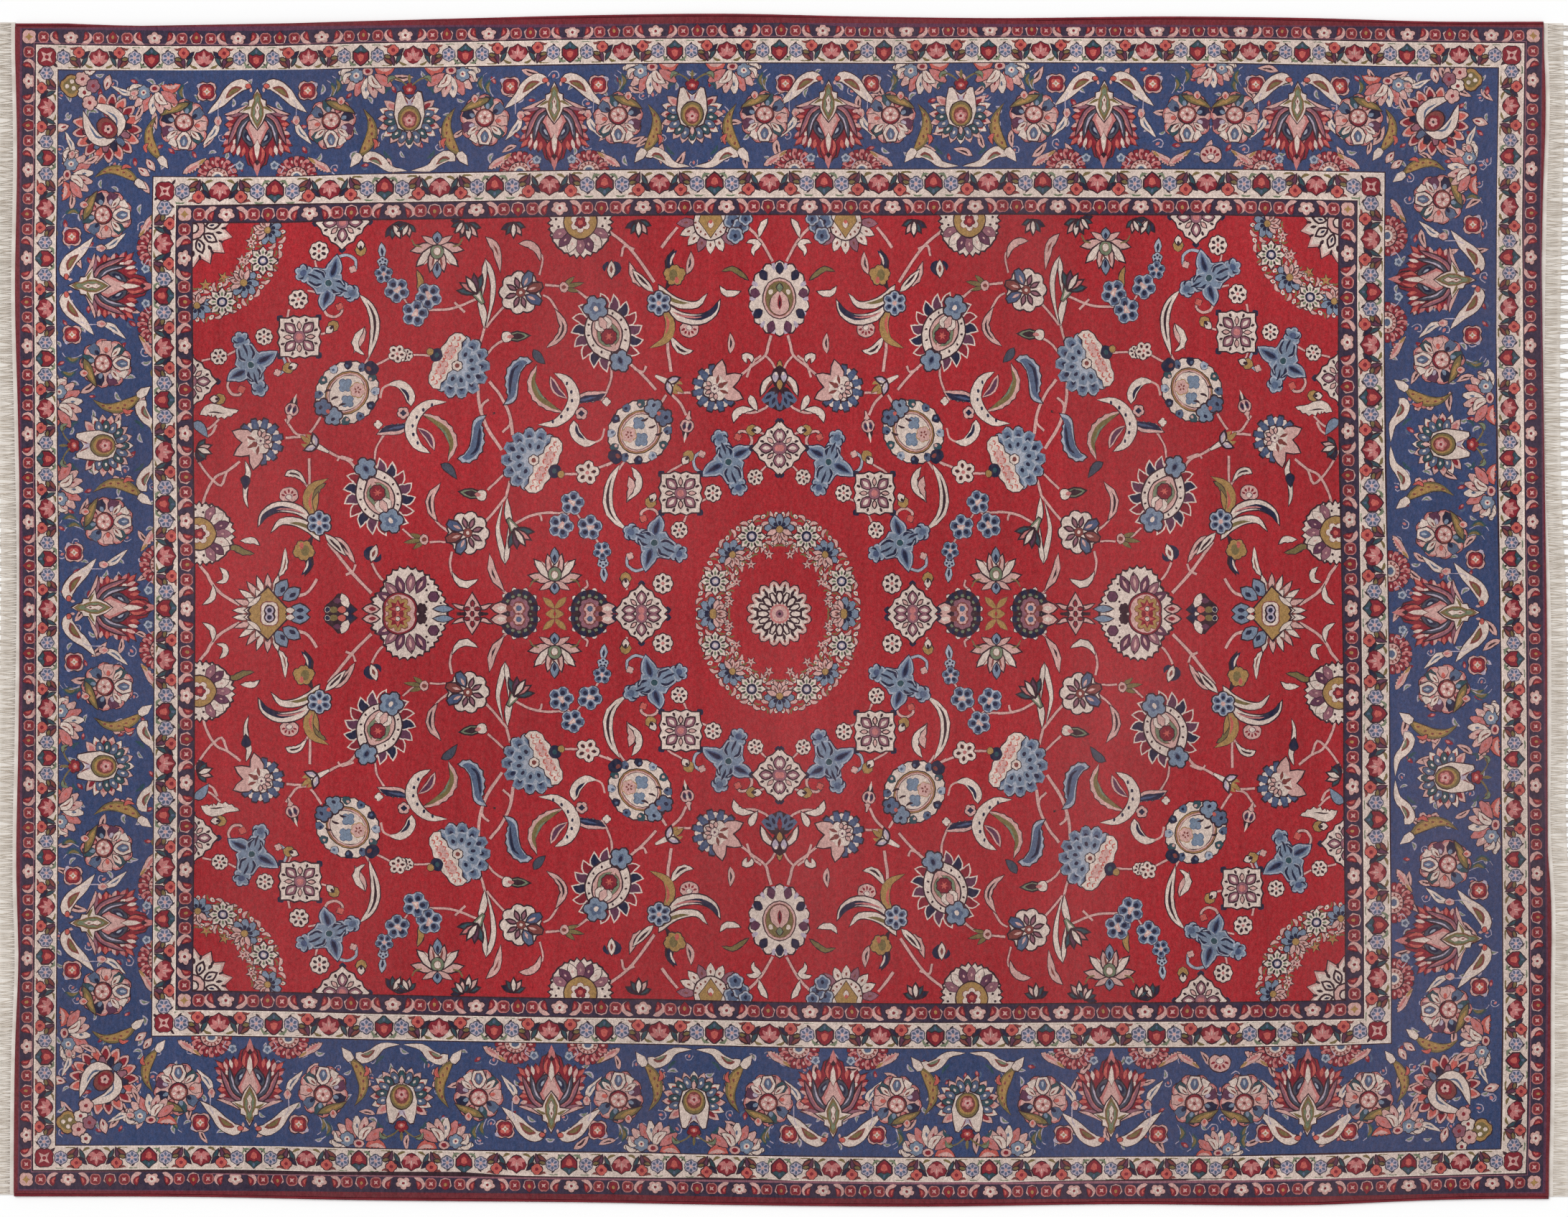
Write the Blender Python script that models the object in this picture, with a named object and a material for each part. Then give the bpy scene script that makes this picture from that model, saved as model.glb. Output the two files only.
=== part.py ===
"""A room-size hand-knotted carpet lying flat, with its long side along X.

The woven carpet is one slab of knotted pile on its foundation. A wool-wrapped
selvedge cord runs along each long side. At each end a flat-woven cotton web
holds the roots of the fringe locks, which lie out on the floor. Metres, +Z up.
The origin is on the floor, under the middle of the whole.
"""

import random

import bpy
import numpy as np

COLLECTION = "knotted_carpet"

# Driving sizes, in metres.
CARPET_LENGTH = 3.892  # between the end webs
CARPET_WIDTH = 3.010  # over both selvedges
CARPET_THICK = 0.010  # foundation and clipped pile
SELVEDGE_RADIUS = 0.004
SELVEDGE_LIFT = 0.0002  # under the cord, so that the slab alone takes the weight
WEB_DEEP = 0.025  # flat-woven cotton past the last row of knots
COTTON_THICK = 0.003  # web and fringe locks
FIT_GAP = 0.0003  # between neighbouring pieces
CORD_SHORT = 0.0003  # how far a selvedge stops short of the carpet's end

# Fringe locks: one end's count, and the sizes of a lock.
LOCKS = 120
LOCK_LENGTH = 0.080
LOCK_ROOT = 0.0150  # width where it leaves the web
LOCK_BODY = 0.0105  # width past the knot
LOCK_TIP = 0.0055
LOCK_BODY_AT = 0.30  # share of the length where the body width is reached
LENGTH_SPREAD = 0.007
LEAN_SPREAD = 0.0035
SEED = 7

STATIONS_LONG = 61  # outline points along a long side
STATIONS_SHORT = 47  # outline points along a short end

# How the four woven edges wander. Columns: place along the edge, and how far
# the edge stands out past its nominal line there. Millimetres.
FAR_EDGE = (
    (-1946, -5), (-1768, -14), (-1600, -18), (-1440, -16), (-1110, -7), (-780, 2),
    (-450, 10), (-125, 13), (200, 6), (530, 2), (1025, 6), (1350, 2), (1680, -7),
    (1946, -7),
)
NEAR_EDGE = (
    (-1946, -14), (-1440, -12), (-1110, -5), (-450, 2), (-125, 8), (370, 12),
    (860, 6), (1350, 8), (1680, -5), (1946, -9),
)
LEFT_END = (
    (-1505, 6), (-1130, 2), (-860, -7), (-720, -2), (-310, -7), (100, -12),
    (510, -5), (785, 2), (1195, -3), (1505, 4),
)
RIGHT_END = (
    (-1505, 4), (-1270, 10), (-995, 11), (-720, 11), (-585, 1), (-310, 2),
    (100, -2), (240, -9), (1060, -9), (1330, -2), (1505, -12),
)
MILLIMETRE = 0.001

# Name, colour (linear RGB) and roughness of each finish.
WOOL_PILE = ("wool_pile", (0.33, 0.028, 0.035), 0.95)
WOOL_CORD = ("wool_cord", (0.20, 0.014, 0.024), 0.90)
COTTON = ("cotton", (0.58, 0.50, 0.40), 0.92)


def smooth_curve(table):
    """A function of the place along an edge: a cubic through the table's rows."""
    along, out = np.array(table, float).T * MILLIMETRE
    slope = np.gradient(out, along)

    def at(place):
        place = np.clip(place, along[0], along[-1])
        row = np.clip(np.searchsorted(along, place) - 1, 0, len(along) - 2)
        step = along[row + 1] - along[row]
        t = (place - along[row]) / step
        rise = out[row + 1] - out[row]
        a = slope[row] * step - rise
        b = rise - slope[row + 1] * step
        return out[row] + rise * t + t * (1 - t) * (a * (1 - t) + b * t)

    return at


far_out = smooth_curve(FAR_EDGE)
near_out = smooth_curve(NEAR_EDGE)
left_out = smooth_curve(LEFT_END)
right_out = smooth_curve(RIGHT_END)


def far_y(x, inset=0.0):
    return CARPET_WIDTH / 2 + far_out(x) - inset


def near_y(x, inset=0.0):
    return -CARPET_WIDTH / 2 - near_out(x) + inset


def end_x(side, y, beyond=0.0):
    """X of the carpet's end: side is -1 for the left end and 1 for the right."""
    out = right_out(y) if side > 0 else left_out(y)
    return side * (CARPET_LENGTH / 2 + out + beyond)


def carpet_outline():
    """The slab's outline, anticlockwise, inside both selvedge cords."""
    inset = 2 * SELVEDGE_RADIUS + FIT_GAP
    share_long = np.linspace(0, 1, STATIONS_LONG)
    share_short = np.linspace(0, 1, STATIONS_SHORT)
    corner = {}
    for side in (-1, 1):
        top = CARPET_WIDTH / 2
        x_far = float(end_x(side, top))
        x_near = float(end_x(side, -top))
        corner[side, 1] = (x_far, float(far_y(x_far, inset)))
        corner[side, -1] = (x_near, float(near_y(x_near, inset)))
    x = corner[-1, -1][0] + share_long * (corner[1, -1][0] - corner[-1, -1][0])
    near = np.column_stack([x, near_y(x, inset)])
    y = corner[1, -1][1] + share_short * (corner[1, 1][1] - corner[1, -1][1])
    right = np.column_stack([end_x(1, y), y])
    x = corner[1, 1][0] + share_long * (corner[-1, 1][0] - corner[1, 1][0])
    far = np.column_stack([x, far_y(x, inset)])
    y = corner[-1, 1][1] + share_short * (corner[-1, -1][1] - corner[-1, 1][1])
    left = np.column_stack([end_x(-1, y), y])
    return np.vstack([near[:-1], right[:-1], far[:-1], left[:-1]])


def selvedge_line(edge_y):
    """The cord's centre line beside a long edge, from end to end of the carpet."""
    corner_y = np.sign(edge_y(0.0)) * CARPET_WIDTH / 2
    x_from = float(end_x(-1, corner_y, -CORD_SHORT))
    x_to = float(end_x(1, corner_y, -CORD_SHORT))
    x = np.linspace(x_from, x_to, STATIONS_LONG)
    return np.column_stack([x, edge_y(x, SELVEDGE_RADIUS)])


def fringe_outline(side, rng):
    """The web's outline with its comb of locks, from the near to the far corner."""
    corner_x = side * CARPET_LENGTH / 2
    low = float(near_y(corner_x, SELVEDGE_RADIUS))
    high = float(far_y(corner_x, SELVEDGE_RADIUS))
    y = np.linspace(low, high, STATIONS_SHORT)
    inner = np.column_stack([end_x(side, y, FIT_GAP), y])
    pitch = (high - low) / LOCKS
    comb = []
    for lock in range(LOCKS):
        middle = low + (lock + 0.5) * pitch
        length = LOCK_LENGTH - LENGTH_SPREAD * rng.random()
        lean = LEAN_SPREAD * rng.uniform(-1, 1)
        rows = (
            (0.0, LOCK_ROOT / 2, 0.0),
            (LOCK_BODY_AT * length, LOCK_BODY / 2, lean / 2),
            (length, LOCK_TIP / 2, lean),
        )
        for reach, half, sway in rows:
            comb.append((reach, middle + sway - half))
        for reach, half, sway in reversed(rows):
            comb.append((reach, middle + sway + half))
    reach, across = np.array(comb).T
    outer = np.column_stack([end_x(side, across, WEB_DEEP + reach), across])
    corner_y = np.array([low, high])
    ends = np.column_stack([end_x(side, corner_y, WEB_DEEP), corner_y])
    return np.vstack([ends[:1], outer, ends[1:], inner[::-1]])


def material(name, colour, roughness):
    made = bpy.data.materials.get(name) or bpy.data.materials.new(name)
    made.use_nodes = True
    shader = made.node_tree.nodes["Principled BSDF"]
    shader.inputs["Base Color"].default_value = (*colour, 1)
    shader.inputs["Roughness"].default_value = roughness
    shader.inputs["Metallic"].default_value = 0
    return made


def curve_object(name, points, cyclic, finish, collection):
    curve = bpy.data.curves.new(name, "CURVE")
    spline = curve.splines.new("POLY")
    spline.points.add(len(points) - 1)
    for point, (x, y) in zip(spline.points, points):
        point.co = (x, y, 0, 1)
    spline.use_cyclic_u = cyclic
    curve.materials.append(material(*finish))
    made = bpy.data.objects.new(name, curve)
    collection.objects.link(made)
    return made


def flat_piece(name, outline, thick, finish, collection):
    """A flat solid of this outline, standing on z = 0."""
    made = curve_object(name, outline, True, finish, collection)
    made.data.dimensions = "2D"
    made.data.fill_mode = "BOTH"
    made.data.extrude = thick / 2
    made.location.z = thick / 2
    return made


def cord_piece(name, line, finish, collection):
    """A round cord along this line, lying just clear of z = 0."""
    made = curve_object(name, line, False, finish, collection)
    made.data.dimensions = "3D"
    made.data.bevel_depth = SELVEDGE_RADIUS
    made.data.bevel_resolution = 2
    made.data.use_fill_caps = True
    made.location.z = SELVEDGE_RADIUS + SELVEDGE_LIFT
    return made


def main():
    for old in list(bpy.data.objects):
        bpy.data.objects.remove(old)
    collection = bpy.data.collections.new(COLLECTION)
    bpy.context.scene.collection.children.link(collection)

    rng = random.Random(SEED)
    carpet = carpet_outline()
    cords = {"selvedge_far": selvedge_line(far_y), "selvedge_near": selvedge_line(near_y)}
    fringes = {"fringe_left": fringe_outline(-1, rng), "fringe_right": fringe_outline(1, rng)}

    x_reach = np.concatenate([outline[:, 0] for outline in fringes.values()])
    y_reach = np.concatenate([line[:, 1] for line in cords.values()])
    middle = np.array([x_reach.min() + x_reach.max(), y_reach.min() + y_reach.max()]) / 2

    flat_piece("pile_carpet", carpet - middle, CARPET_THICK, WOOL_PILE, collection)
    for name, line in cords.items():
        cord_piece(name, line - middle, WOOL_CORD, collection)
    for name, outline in fringes.items():
        flat_piece(name, outline - middle, COTTON_THICK, COTTON, collection)


main()
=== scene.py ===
"""Looks of a room-size hand-knotted carpet, seen flat from straight above.

The design is drawn here as areas of one dye each, on a plan whose unit is one
knot. The plan is cut into triangles, laid into the carpet's wandering outline,
and dyed. Selvedges, end webs and fringe are laid round it as real yarn.
"""

import math
import random

import bpy
import numpy as np
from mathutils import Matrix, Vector
from mathutils.bvhtree import BVHTree
from mathutils.geometry import delaunay_2d_cdt


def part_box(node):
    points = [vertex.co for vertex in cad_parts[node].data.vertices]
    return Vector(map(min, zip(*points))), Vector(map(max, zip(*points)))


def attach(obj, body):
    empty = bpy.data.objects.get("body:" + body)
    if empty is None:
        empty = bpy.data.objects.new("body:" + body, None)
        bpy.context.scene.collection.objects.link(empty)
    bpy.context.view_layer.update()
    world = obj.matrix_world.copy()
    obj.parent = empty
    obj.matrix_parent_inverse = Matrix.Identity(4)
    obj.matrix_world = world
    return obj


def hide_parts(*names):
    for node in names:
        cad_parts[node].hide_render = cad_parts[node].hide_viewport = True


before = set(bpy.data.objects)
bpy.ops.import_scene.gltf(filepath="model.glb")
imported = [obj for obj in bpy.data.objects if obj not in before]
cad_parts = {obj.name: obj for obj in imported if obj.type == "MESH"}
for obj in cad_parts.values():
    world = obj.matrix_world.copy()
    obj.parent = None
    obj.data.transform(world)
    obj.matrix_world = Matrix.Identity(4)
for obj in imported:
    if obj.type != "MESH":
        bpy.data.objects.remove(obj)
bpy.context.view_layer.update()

# The photograph's size and where the pile lies in it, in its pixels.
PHOTO_SIZE = (2184, 1695)
PILE_IN_PHOTO = (18.9, 22.8, 2160.8, 1676.7)  # left, top, right, bottom

# Sizes in metres.
CAMERA_HEIGHT = 9.0
FLOOR_SIZE = 14.0
PILE_TOP = 0.0098
PILE_ROOT = 0.0040  # top of the foundation, where the pile starts
BACK_LOW = 0.0003  # the foundation's underside
BACK_LAP = 0.0002  # how far the foundation reaches up into the pile
RIPPLE = 0.0004  # how far the carpet rises and falls where it lies
CORD_RADIUS = 0.0040
CORD_GAP = 0.0003
CORD_LIFT = 0.0004
WEB_DEEP = 0.052
WEB_RAGGED = 0.0012  # how uneven its outer edge is
WEB_BARE = 0.012  # how far out the loose warp ends begin
WEB_THICK = 0.0026
WEB_LOW = 0.0004
WEB_SEAM = 0.0003  # between the last knots and the web
LOCK_LENGTH = 0.092
LOCK_SHORTER = 0.008  # by this much at most
LOCK_LEAN = 0.0035
YARN_RADIUS = 0.0011
YARN_KINK = 0.0022

# Counts and shares.
OUTLINE_STEPS = (60, 46)  # of the foundation, along the long and the short sides
CORD_SIDES = 8
YARN_SIDES = 4
CORD_STATIONS = 480
CORD_THINNER = 0.05  # at most, from turn to turn
WEB_STATIONS = 241
LOCKS = 120
YARNS = 5  # in each lock
YARN_STATIONS = 7
YARN_SHORTER = 0.06
YARN_TIP = 0.55  # of its radius
LOCK_GATHERED = 0.36  # of its pitch, at the tips
BAKE_MARGIN = 0.002  # of the flat map, left free all round

# Light.
SUN_STRENGTH = 1.74
SUN_SPREAD = 35  # degrees
SUN_TILT = (-28, -24, 0)  # degrees
STUDIO_STRENGTH = 0.58

# The cartoon is drawn for one quarter, up and to the left of the middle.
# Its unit is one knot. Rows of places give each motif's place as a pixel of the
# photograph, PHOTO_MIDDLE being the middle of the design.
PHOTO_MIDDLE = (1086, 855)
WAVER = 0.45  # how far a drawn line waves, in knots


def on_plan(x, y):
    """The drawing's own point, right and up of the middle, for a place in the photograph."""
    return x - PHOTO_MIDDLE[0], PHOTO_MIDDLE[1] - y


def to_plan(areas):
    """Areas moved from the drawing's own axes to the photograph's."""
    flip = np.array([1, -1])
    return [(dye, shape * flip + PHOTO_MIDDLE) for dye, shape in areas]


def turned(points, turn, x=0.0, y=0.0, size=1.0):
    """Points turned clockwise by this many degrees, scaled, then moved."""
    t = math.radians(turn)
    points = np.asarray(points, float) * size
    across, along = points[:, 0], points[:, 1]
    return np.column_stack(
        [across * math.cos(t) + along * math.sin(t) + x, along * math.cos(t) - across * math.sin(t) + y]
    )


def set_out(shape, turn, reach, x=0.0, y=0.0):
    """The shape turned, then moved this far out the way it points, from (x, y)."""
    t = math.radians(turn)
    return turned(shape, turn, reach * math.sin(t) + x, reach * math.cos(t) + y)


def shrunk(shape, share):
    """The shape drawn in towards its own middle."""
    return shape * share + shape.mean(axis=0) * (1 - share)


def smooth(points, steps=4, closed=False):
    """A smooth curve through the points."""
    points = np.asarray(points, float)
    if closed:
        padded = np.vstack([points[-1:], points, points[:2]])
    else:
        padded = np.vstack([2 * points[0] - points[1], points, 2 * points[-1] - points[-2]])
    t = (np.arange(steps) / steps)[:, None]
    pieces = []
    for a, b, c, d in zip(padded, padded[1:], padded[2:], padded[3:]):
        bend, twist = 2 * a - 5 * b + 4 * c - d, 3 * b - a - 3 * c + d
        pieces.append(0.5 * (2 * b + (c - a) * t + bend * t**2 + twist * t**3))
    if not closed:
        pieces.append(points[-1:])
    return np.vstack(pieces)


def oval(rx, ry=None, count=10, x=0.0, y=0.0):
    """An oval of these two radii with this many corners, or a round without the second."""
    angle = np.arange(count) * 2 * math.pi / count
    return np.column_stack([rx * np.sin(angle) + x, (ry or rx) * np.cos(angle) + y])


def mirrored(half):
    """A closed outline from its right half, listed from the tip down to the base."""
    half = np.asarray(half, float)
    left = half[::-1] * (-1, 1)
    return np.vstack([half, left[abs(left[:, 0]) > 1e-6]])


def drop(length, width, blunt=0.0):
    """A petal from its base at the origin to its tip above, pointed unless blunt."""
    w = width / 2
    shoulder = w * (0.62 + 0.25 * blunt)
    tip, low = (blunt * w, length), (w * 0.62, length * 0.2)
    return mirrored([tip, (shoulder, length * 0.80), (w, length * 0.52), low, (0, 0)])


def petal(length, width, turn, x=0.0, y=0.0):
    """A pointed drop turned this way, its base at (x, y)."""
    return turned(drop(length, width), turn, x, y)


def lobes(count, radius, notch=0.2, start=0.0, squash=1.0):
    """A flower outline with this many round lobes."""
    shoulder = 1 - notch * 0.25
    angle = np.radians(start) + np.arange(count * 4) * math.pi / (2 * count)
    reach = radius * np.tile((1, shoulder, 1 - notch, shoulder), count)
    return np.column_stack([reach * np.sin(angle), squash * reach * np.cos(angle)])


def star(count, outer, inner, start=0.0):
    """A star of this many points, its outer radius and the one between its points."""
    angle = np.radians(start) + np.arange(count * 2) * math.pi / count
    reach = np.where(np.arange(count * 2) % 2 == 0, outer, inner)
    return np.column_stack([reach * np.sin(angle), reach * np.cos(angle)])


def profile(radii, steps=3, teeth=0, bite=0.0):
    """A closed outline from radii at even angles from the tip, over one side, to the base."""
    ring = radii + radii[-2:0:-1]
    count = len(ring)
    angles = [2 * math.pi * k / count for k in range(count)]
    line = smooth([(r * math.sin(a), r * math.cos(a)) for r, a in zip(ring, angles)], steps, closed=True)
    if teeth:
        k = np.arange(len(line))
        wave = np.abs((k * teeth / len(line) + 0.5) % 1 - 0.5) * 2
        line = line * (1 - bite * (1 - wave))[:, None]
    return line


def around(count, reach, shape, start=0.0, span=360.0, x=0, y=0):
    """Copies of a shape set out from (x, y) at even angles, each pointing outwards."""
    step = span / count if span == 360 else span / max(count - 1, 1)
    for k in range(count):
        yield set_out(shape, start + k * step, reach) + (x, y)


def widths(along, thick, belly):
    """Half widths of a leaf along its length, thickest at the share called belly."""
    power = math.log(0.5) / math.log(belly)
    return thick / 2 * np.sin(math.pi * along**power) ** 0.8


def sides_of(spine, steps):
    """The smooth line along a spine, and at each of its points the way to its right."""
    line = smooth(spine, steps)
    way = np.gradient(line, axis=0)
    return line, np.column_stack([way[:, 1], -way[:, 0]]) / (np.linalg.norm(way, axis=1)[:, None] + 1e-9)


def blade(spine, width, belly=0.45, steps=None, teeth=0.0):
    """A leaf along a curved spine. Teeth notch its outer side by this share."""
    line, side = sides_of(spine, steps or (4 if teeth else 3))
    half = widths(np.linspace(0, 1, len(line)), width, belly)
    comb = 1 - teeth * (np.arange(len(line)) % 2)
    left = line - side * half[:, None]
    right = line + side * (half * comb)[:, None]
    return np.vstack([right, left[-2:0:-1]])


def ribbon(spine, width, steps=3):
    """A vine of even width along a curve."""
    line, side = sides_of(spine, steps)
    return np.vstack([line + side * (width / 2), (line - side * (width / 2))[::-1]])


def turns_left(points):
    """Whether an outline runs anticlockwise, where y points up."""
    after = np.roll(points, -1, axis=0)
    return (points[:, 0] * after[:, 1] - after[:, 0] * points[:, 1]).sum() > 0


def grown(points, by):
    """The outline moved outwards by this much."""
    points = np.asarray(points, float)
    before, after = np.roll(points, 1, axis=0), np.roll(points, -1, axis=0)
    a, b = points - before, after - points
    a /= np.linalg.norm(a, axis=1)[:, None] + 1e-9
    b /= np.linalg.norm(b, axis=1)[:, None] + 1e-9
    way = a + b
    way /= np.linalg.norm(way, axis=1)[:, None] + 1e-9
    out = np.column_stack([way[:, 1], -way[:, 0]]) * (1 if turns_left(points) else -1)
    lean = np.clip((a * way).sum(axis=1), 0.55, 1)[:, None]
    return points + out * by / lean


weaver = np.random.default_rng(4)


def uneven(points):
    """The points as they come out on the loom, each shape waving a little in its own way."""
    x, y = points.T
    p = weaver.uniform(0, 2 * math.pi, 4)
    across = 0.6 * np.sin(1.7 * x + 0.9 * y + p[0]) + 0.4 * np.sin(2.0 * y - 1.1 * x + p[1])
    along = 0.6 * np.sin(1.8 * y - 0.7 * x + p[2]) + 0.4 * np.sin(2.1 * x + 1.0 * y + p[3])
    return points + WAVER * np.column_stack([across, along])


class Pen:
    """Draws areas of one dye each, later ones over earlier, in a motif's own place."""

    def __init__(self, areas, x, y, turn=0, size=1, flip=1):
        self.areas, self.x, self.y, self.turn, self.size, self.flip = areas, x, y, turn, size, flip

    def area(self, dye, points, rim=0, rim_dye="outline"):
        """An area, with a rim this wide round it where there is one."""
        if rim:
            self.area(rim_dye, grown(points, rim))
        points = np.asarray(points, float) * (self.flip, 1)
        self.areas.append((dye, uneven(turned(points, self.turn, self.x, self.y, self.size))))

    def both(self, dye, points, *rim):
        """An area and its mirror image over the motif's axis."""
        self.area(dye, points, *rim)
        self.area(dye, np.asarray(points, float) * (-1, 1), *rim)

    def many(self, dye, shapes, *rim):
        """Several areas of one dye."""
        for points in shapes:
            self.area(dye, points, *rim)


# The wool's dyes, as display colours.
DYES = {
    "border": (55, 69, 106),
    "chain": (54, 44, 64),
    # The outermost band's own red, darkened with painted shade along the carpet's rim.
    "edge": (110, 38, 46),
    "field": (162, 38, 45),
    "outline": (52, 31, 40),
    "cream": (224, 206, 194),
    "ivory": (212, 192, 181),
    "blush": (200, 157, 150),
    "rose": (187, 114, 112),
    "coral": (187, 90, 82),
    "ruby": (128, 34, 46),
    "rust": (122, 62, 58),
    "mauve": (138, 90, 102),
    "plum": (92, 52, 74),
    "navy": (32, 35, 60),
    "slate": (66, 70, 84),
    "steel": (82, 95, 120),
    "denim": (70, 82, 112),
    "sky": (116, 129, 148),
    "mist": (158, 162, 174),
    "lilac": (174, 160, 174),
    "teal": (46, 74, 82),
    "sage": (112, 122, 98),
    "olive": (116, 100, 64),
    "gold": (160, 124, 76),
}


def linear(colour):
    """Linear colour from display values."""
    share = np.asarray(colour, float) / 255
    return np.where(share <= 0.04045, share / 12.92, ((share + 0.055) / 1.055) ** 2.4)


WOOL = {name: linear(colour) for name, colour in DYES.items()}


# ---------------------------------------------------------------- small flowers


# The field's motifs. Each is drawn upright round its own middle, in knots.


def floret(p):
    p.area("ivory", lobes(8, 12.5, 0.14), 1.3)
    p.many("outline", around(6, 3.6, drop(6.5, 4.2)))
    p.area("rose", oval(2.2, count=6))


def ring_daisy(p):
    p.area("ivory", star(8, 20, 14), 1.3)
    p.many("outline", around(8, 8.5, drop(7.5, 3.4), start=22.5))
    p.many("sage", around(8, 8, drop(7, 3.6)))
    p.area("navy", oval(7.6))
    p.area("lilac", oval(4.4))
    p.area("ivory", oval(2.4, count=6))


def twin_flower(p):
    """Blue petals on its outer side and a blush star on its inner side."""
    p.many("sky", around(5, 4, drop(18, 12, 0.4), start=-84, span=168), 1.2)
    p.many("navy", around(5, 9, oval(3.0, 3.8, 7), start=-84, span=168))
    p.many("blush", around(5, 3, drop(17.5, 8), start=112, span=136), 1.2)
    p.many("rust", around(3, 8, drop(7, 2.6), start=146, span=68))
    p.area("gold", oval(5.2, count=8), 0.9)


def little_star(p):
    p.area("outline", star(5, 9.4, 4.4))
    p.area("blush", star(5, 8, 3.2))
    p.area("ruby", oval(1.8, count=5))


def little_gold(p):
    p.area("gold", star(5, 8.2, 3.0), 0.8)
    p.area("coral", oval(1.8, count=5))


def blue_floret(p):
    p.area("mist", lobes(5, 19, 0.22), 0.9)
    p.many("steel", around(5, 4, drop(13, 11.5, 0.9)))
    p.many("navy", around(5, 9.6, oval(3.6, 3.8, 7)))
    p.area("blush", [(-4, -5), (4.5, -3), (3, 6.5), (-1, 8)])
    p.area("ivory", [(-2, -3), (3, -2), (1.5, 4)])


def drop_cluster(p):
    """A hanging cluster that narrows to a bud: a floret, a smaller one and the bud."""
    p.area("mist", drop(22, 10) + (0, 9), 0.9)
    p.area("navy", drop(12, 4) + (0, 13))
    p.area("mist", lobes(5, 7.4, 0.2) + (0, 5), 0.9)
    p.many("navy", around(5, 3.8, oval(1.7, count=5), y=5))
    p.area("mist", lobes(5, 12.4, 0.22) + (0, -11), 0.9)
    p.many("steel", around(5, 2.4, drop(9, 8, 0.9), y=-11))
    p.many("navy", around(5, 6.4, oval(2.3, 2.6, 6), y=-11))
    p.area("blush", star(4, 4, 2) + (0, -11))


def star_flower(p):
    p.area("ivory", lobes(5, 17, 0.3), 1.3)
    p.many("rust", around(5, 5, drop(8, 6)))
    p.many("outline", around(5, 6, drop(7, 3.6)))
    p.area("rose", oval(3, count=6))


def fan_flower(p):
    p.area("blush", profile((15, 15, 13, 9, 4)), 1.3)
    p.many("ruby", around(5, 6, drop(6.5, 3.4), start=-66, span=132))
    p.area("ivory", oval(4.5, 3.5, 8, 0, 1), 0.8, "plum")


def acorn(p):
    p.area("gold", mirrored([(0, 3), (5, 4), (8, -1), (5.5, -7), (0, -10)]), 0.9)
    p.area("ivory", drop(13, 10) + (0, -1), 1.3)
    p.area("outline", oval(2.2, 3.0, 7, 0, 2))


def tulip(p):
    p.area("outline", drop(30, 13) + (0, -6))
    p.area("ivory", drop(20, 4.5) + (0, 8))
    p.area("blush", profile((10, 10.5, 11, 11, 10)), 1.3)
    p.both("plum", drop(15, 8) + (4.2, -7))
    p.both("navy", drop(9, 4.2) + (4.2, -4))
    p.area("ivory", drop(12, 4) + (0, -8))
    p.area("blush", mirrored([(0, -9), (5, -12), (2.2, -17), (1.6, -24), (0, -25)]), 0.8)


def twin_drops(p):
    """Two dark-edged drops over a calyx, with a gold flame between them."""
    p.area("gold", blade([(0, 2), (1, 16), (3, 27)], 8), 0.7)
    p.both("gold", blade([(1, 4), (8, 12), (9, 20)], 6))
    p.area("ivory", mirrored([(0, 8), (5, 4), (4, -12), (2, -26), (0, -27)]), 0.9)
    for lean in (-48, 48):
        p.area("lilac", petal(19, 9, lean, 0, -4), 3)
        p.area("ivory", petal(11, 4, lean, 0, -1))


def carnation(p):
    p.area("sage", mirrored([(0, 6), (7, 2), (5, -8), (2, -20), (0, -20)]), 1.3)
    p.area("ivory", mirrored([(0, 8), (5, 3), (3, -7), (0, -18)]))
    for lean, dye in ((-52, "teal"), (52, "teal"), (-26, "rose"), (26, "plum"), (0, "ivory")):
        p.area(dye, petal(24, 7, lean, 0, -2), 2.5)
        p.area("ivory", petal(10, 3, lean, 0, 8))


def spear_bud(p):
    """A pointed dark bud with a rose heart."""
    p.area("sage", drop(36, 13) + (0, -13), 2.5)
    p.area("outline", drop(26, 10) + (0, -8))
    p.area("ivory", profile((7, 7.5, 8, 9, 8)) + (0, -10), 1.3)
    p.area("rose", oval(3.2, 5, 8, 0, -5))


def curl_bud(p):
    """A small white bud held by one dark sepal."""
    p.area("navy", blade([(-3, -10), (-10, 0), (-4, 12)], 9))
    p.area("navy", blade([(3, -10), (9, -3), (10, 5)], 6))
    p.area("ivory", drop(24, 11) + (0, -10), 1.3)
    p.area("rust", drop(11, 4.5) + (0, -4))


def grass_bud(p):
    """A loose olive bud with split tips."""
    for lean, length in ((-30, 24), (28, 26), (0, 34)):
        p.area("olive", petal(length, 7, lean, 0, -10), 0.8)
    p.area("blush", profile((7, 7, 8, 7, 6)) + (0, -8), 0.9)
    p.area("rust", oval(3.4, 4, 7, 0, -8))


def small_leaf(p):
    p.area("blush", blade([(0, -15), (2, 0), (0, 16)], 10), 0.9)
    p.area("outline", blade([(0, -8), (1.5, 0), (0, 9)], 3))


def dark_sprig(p):
    """Dark green and ivory leaves in a tuft."""
    for lean, length, dye in (
        (-72, 22, "teal"), (66, 24, "navy"), (-34, 26, "blush"), (34, 24, "teal"), (0, 26, "ivory"),
    ):
        p.area(dye, petal(length - 6, 7, lean), 2.5)
        p.area("ivory", petal(length * 0.45, 3, lean, 0, 2))


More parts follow.
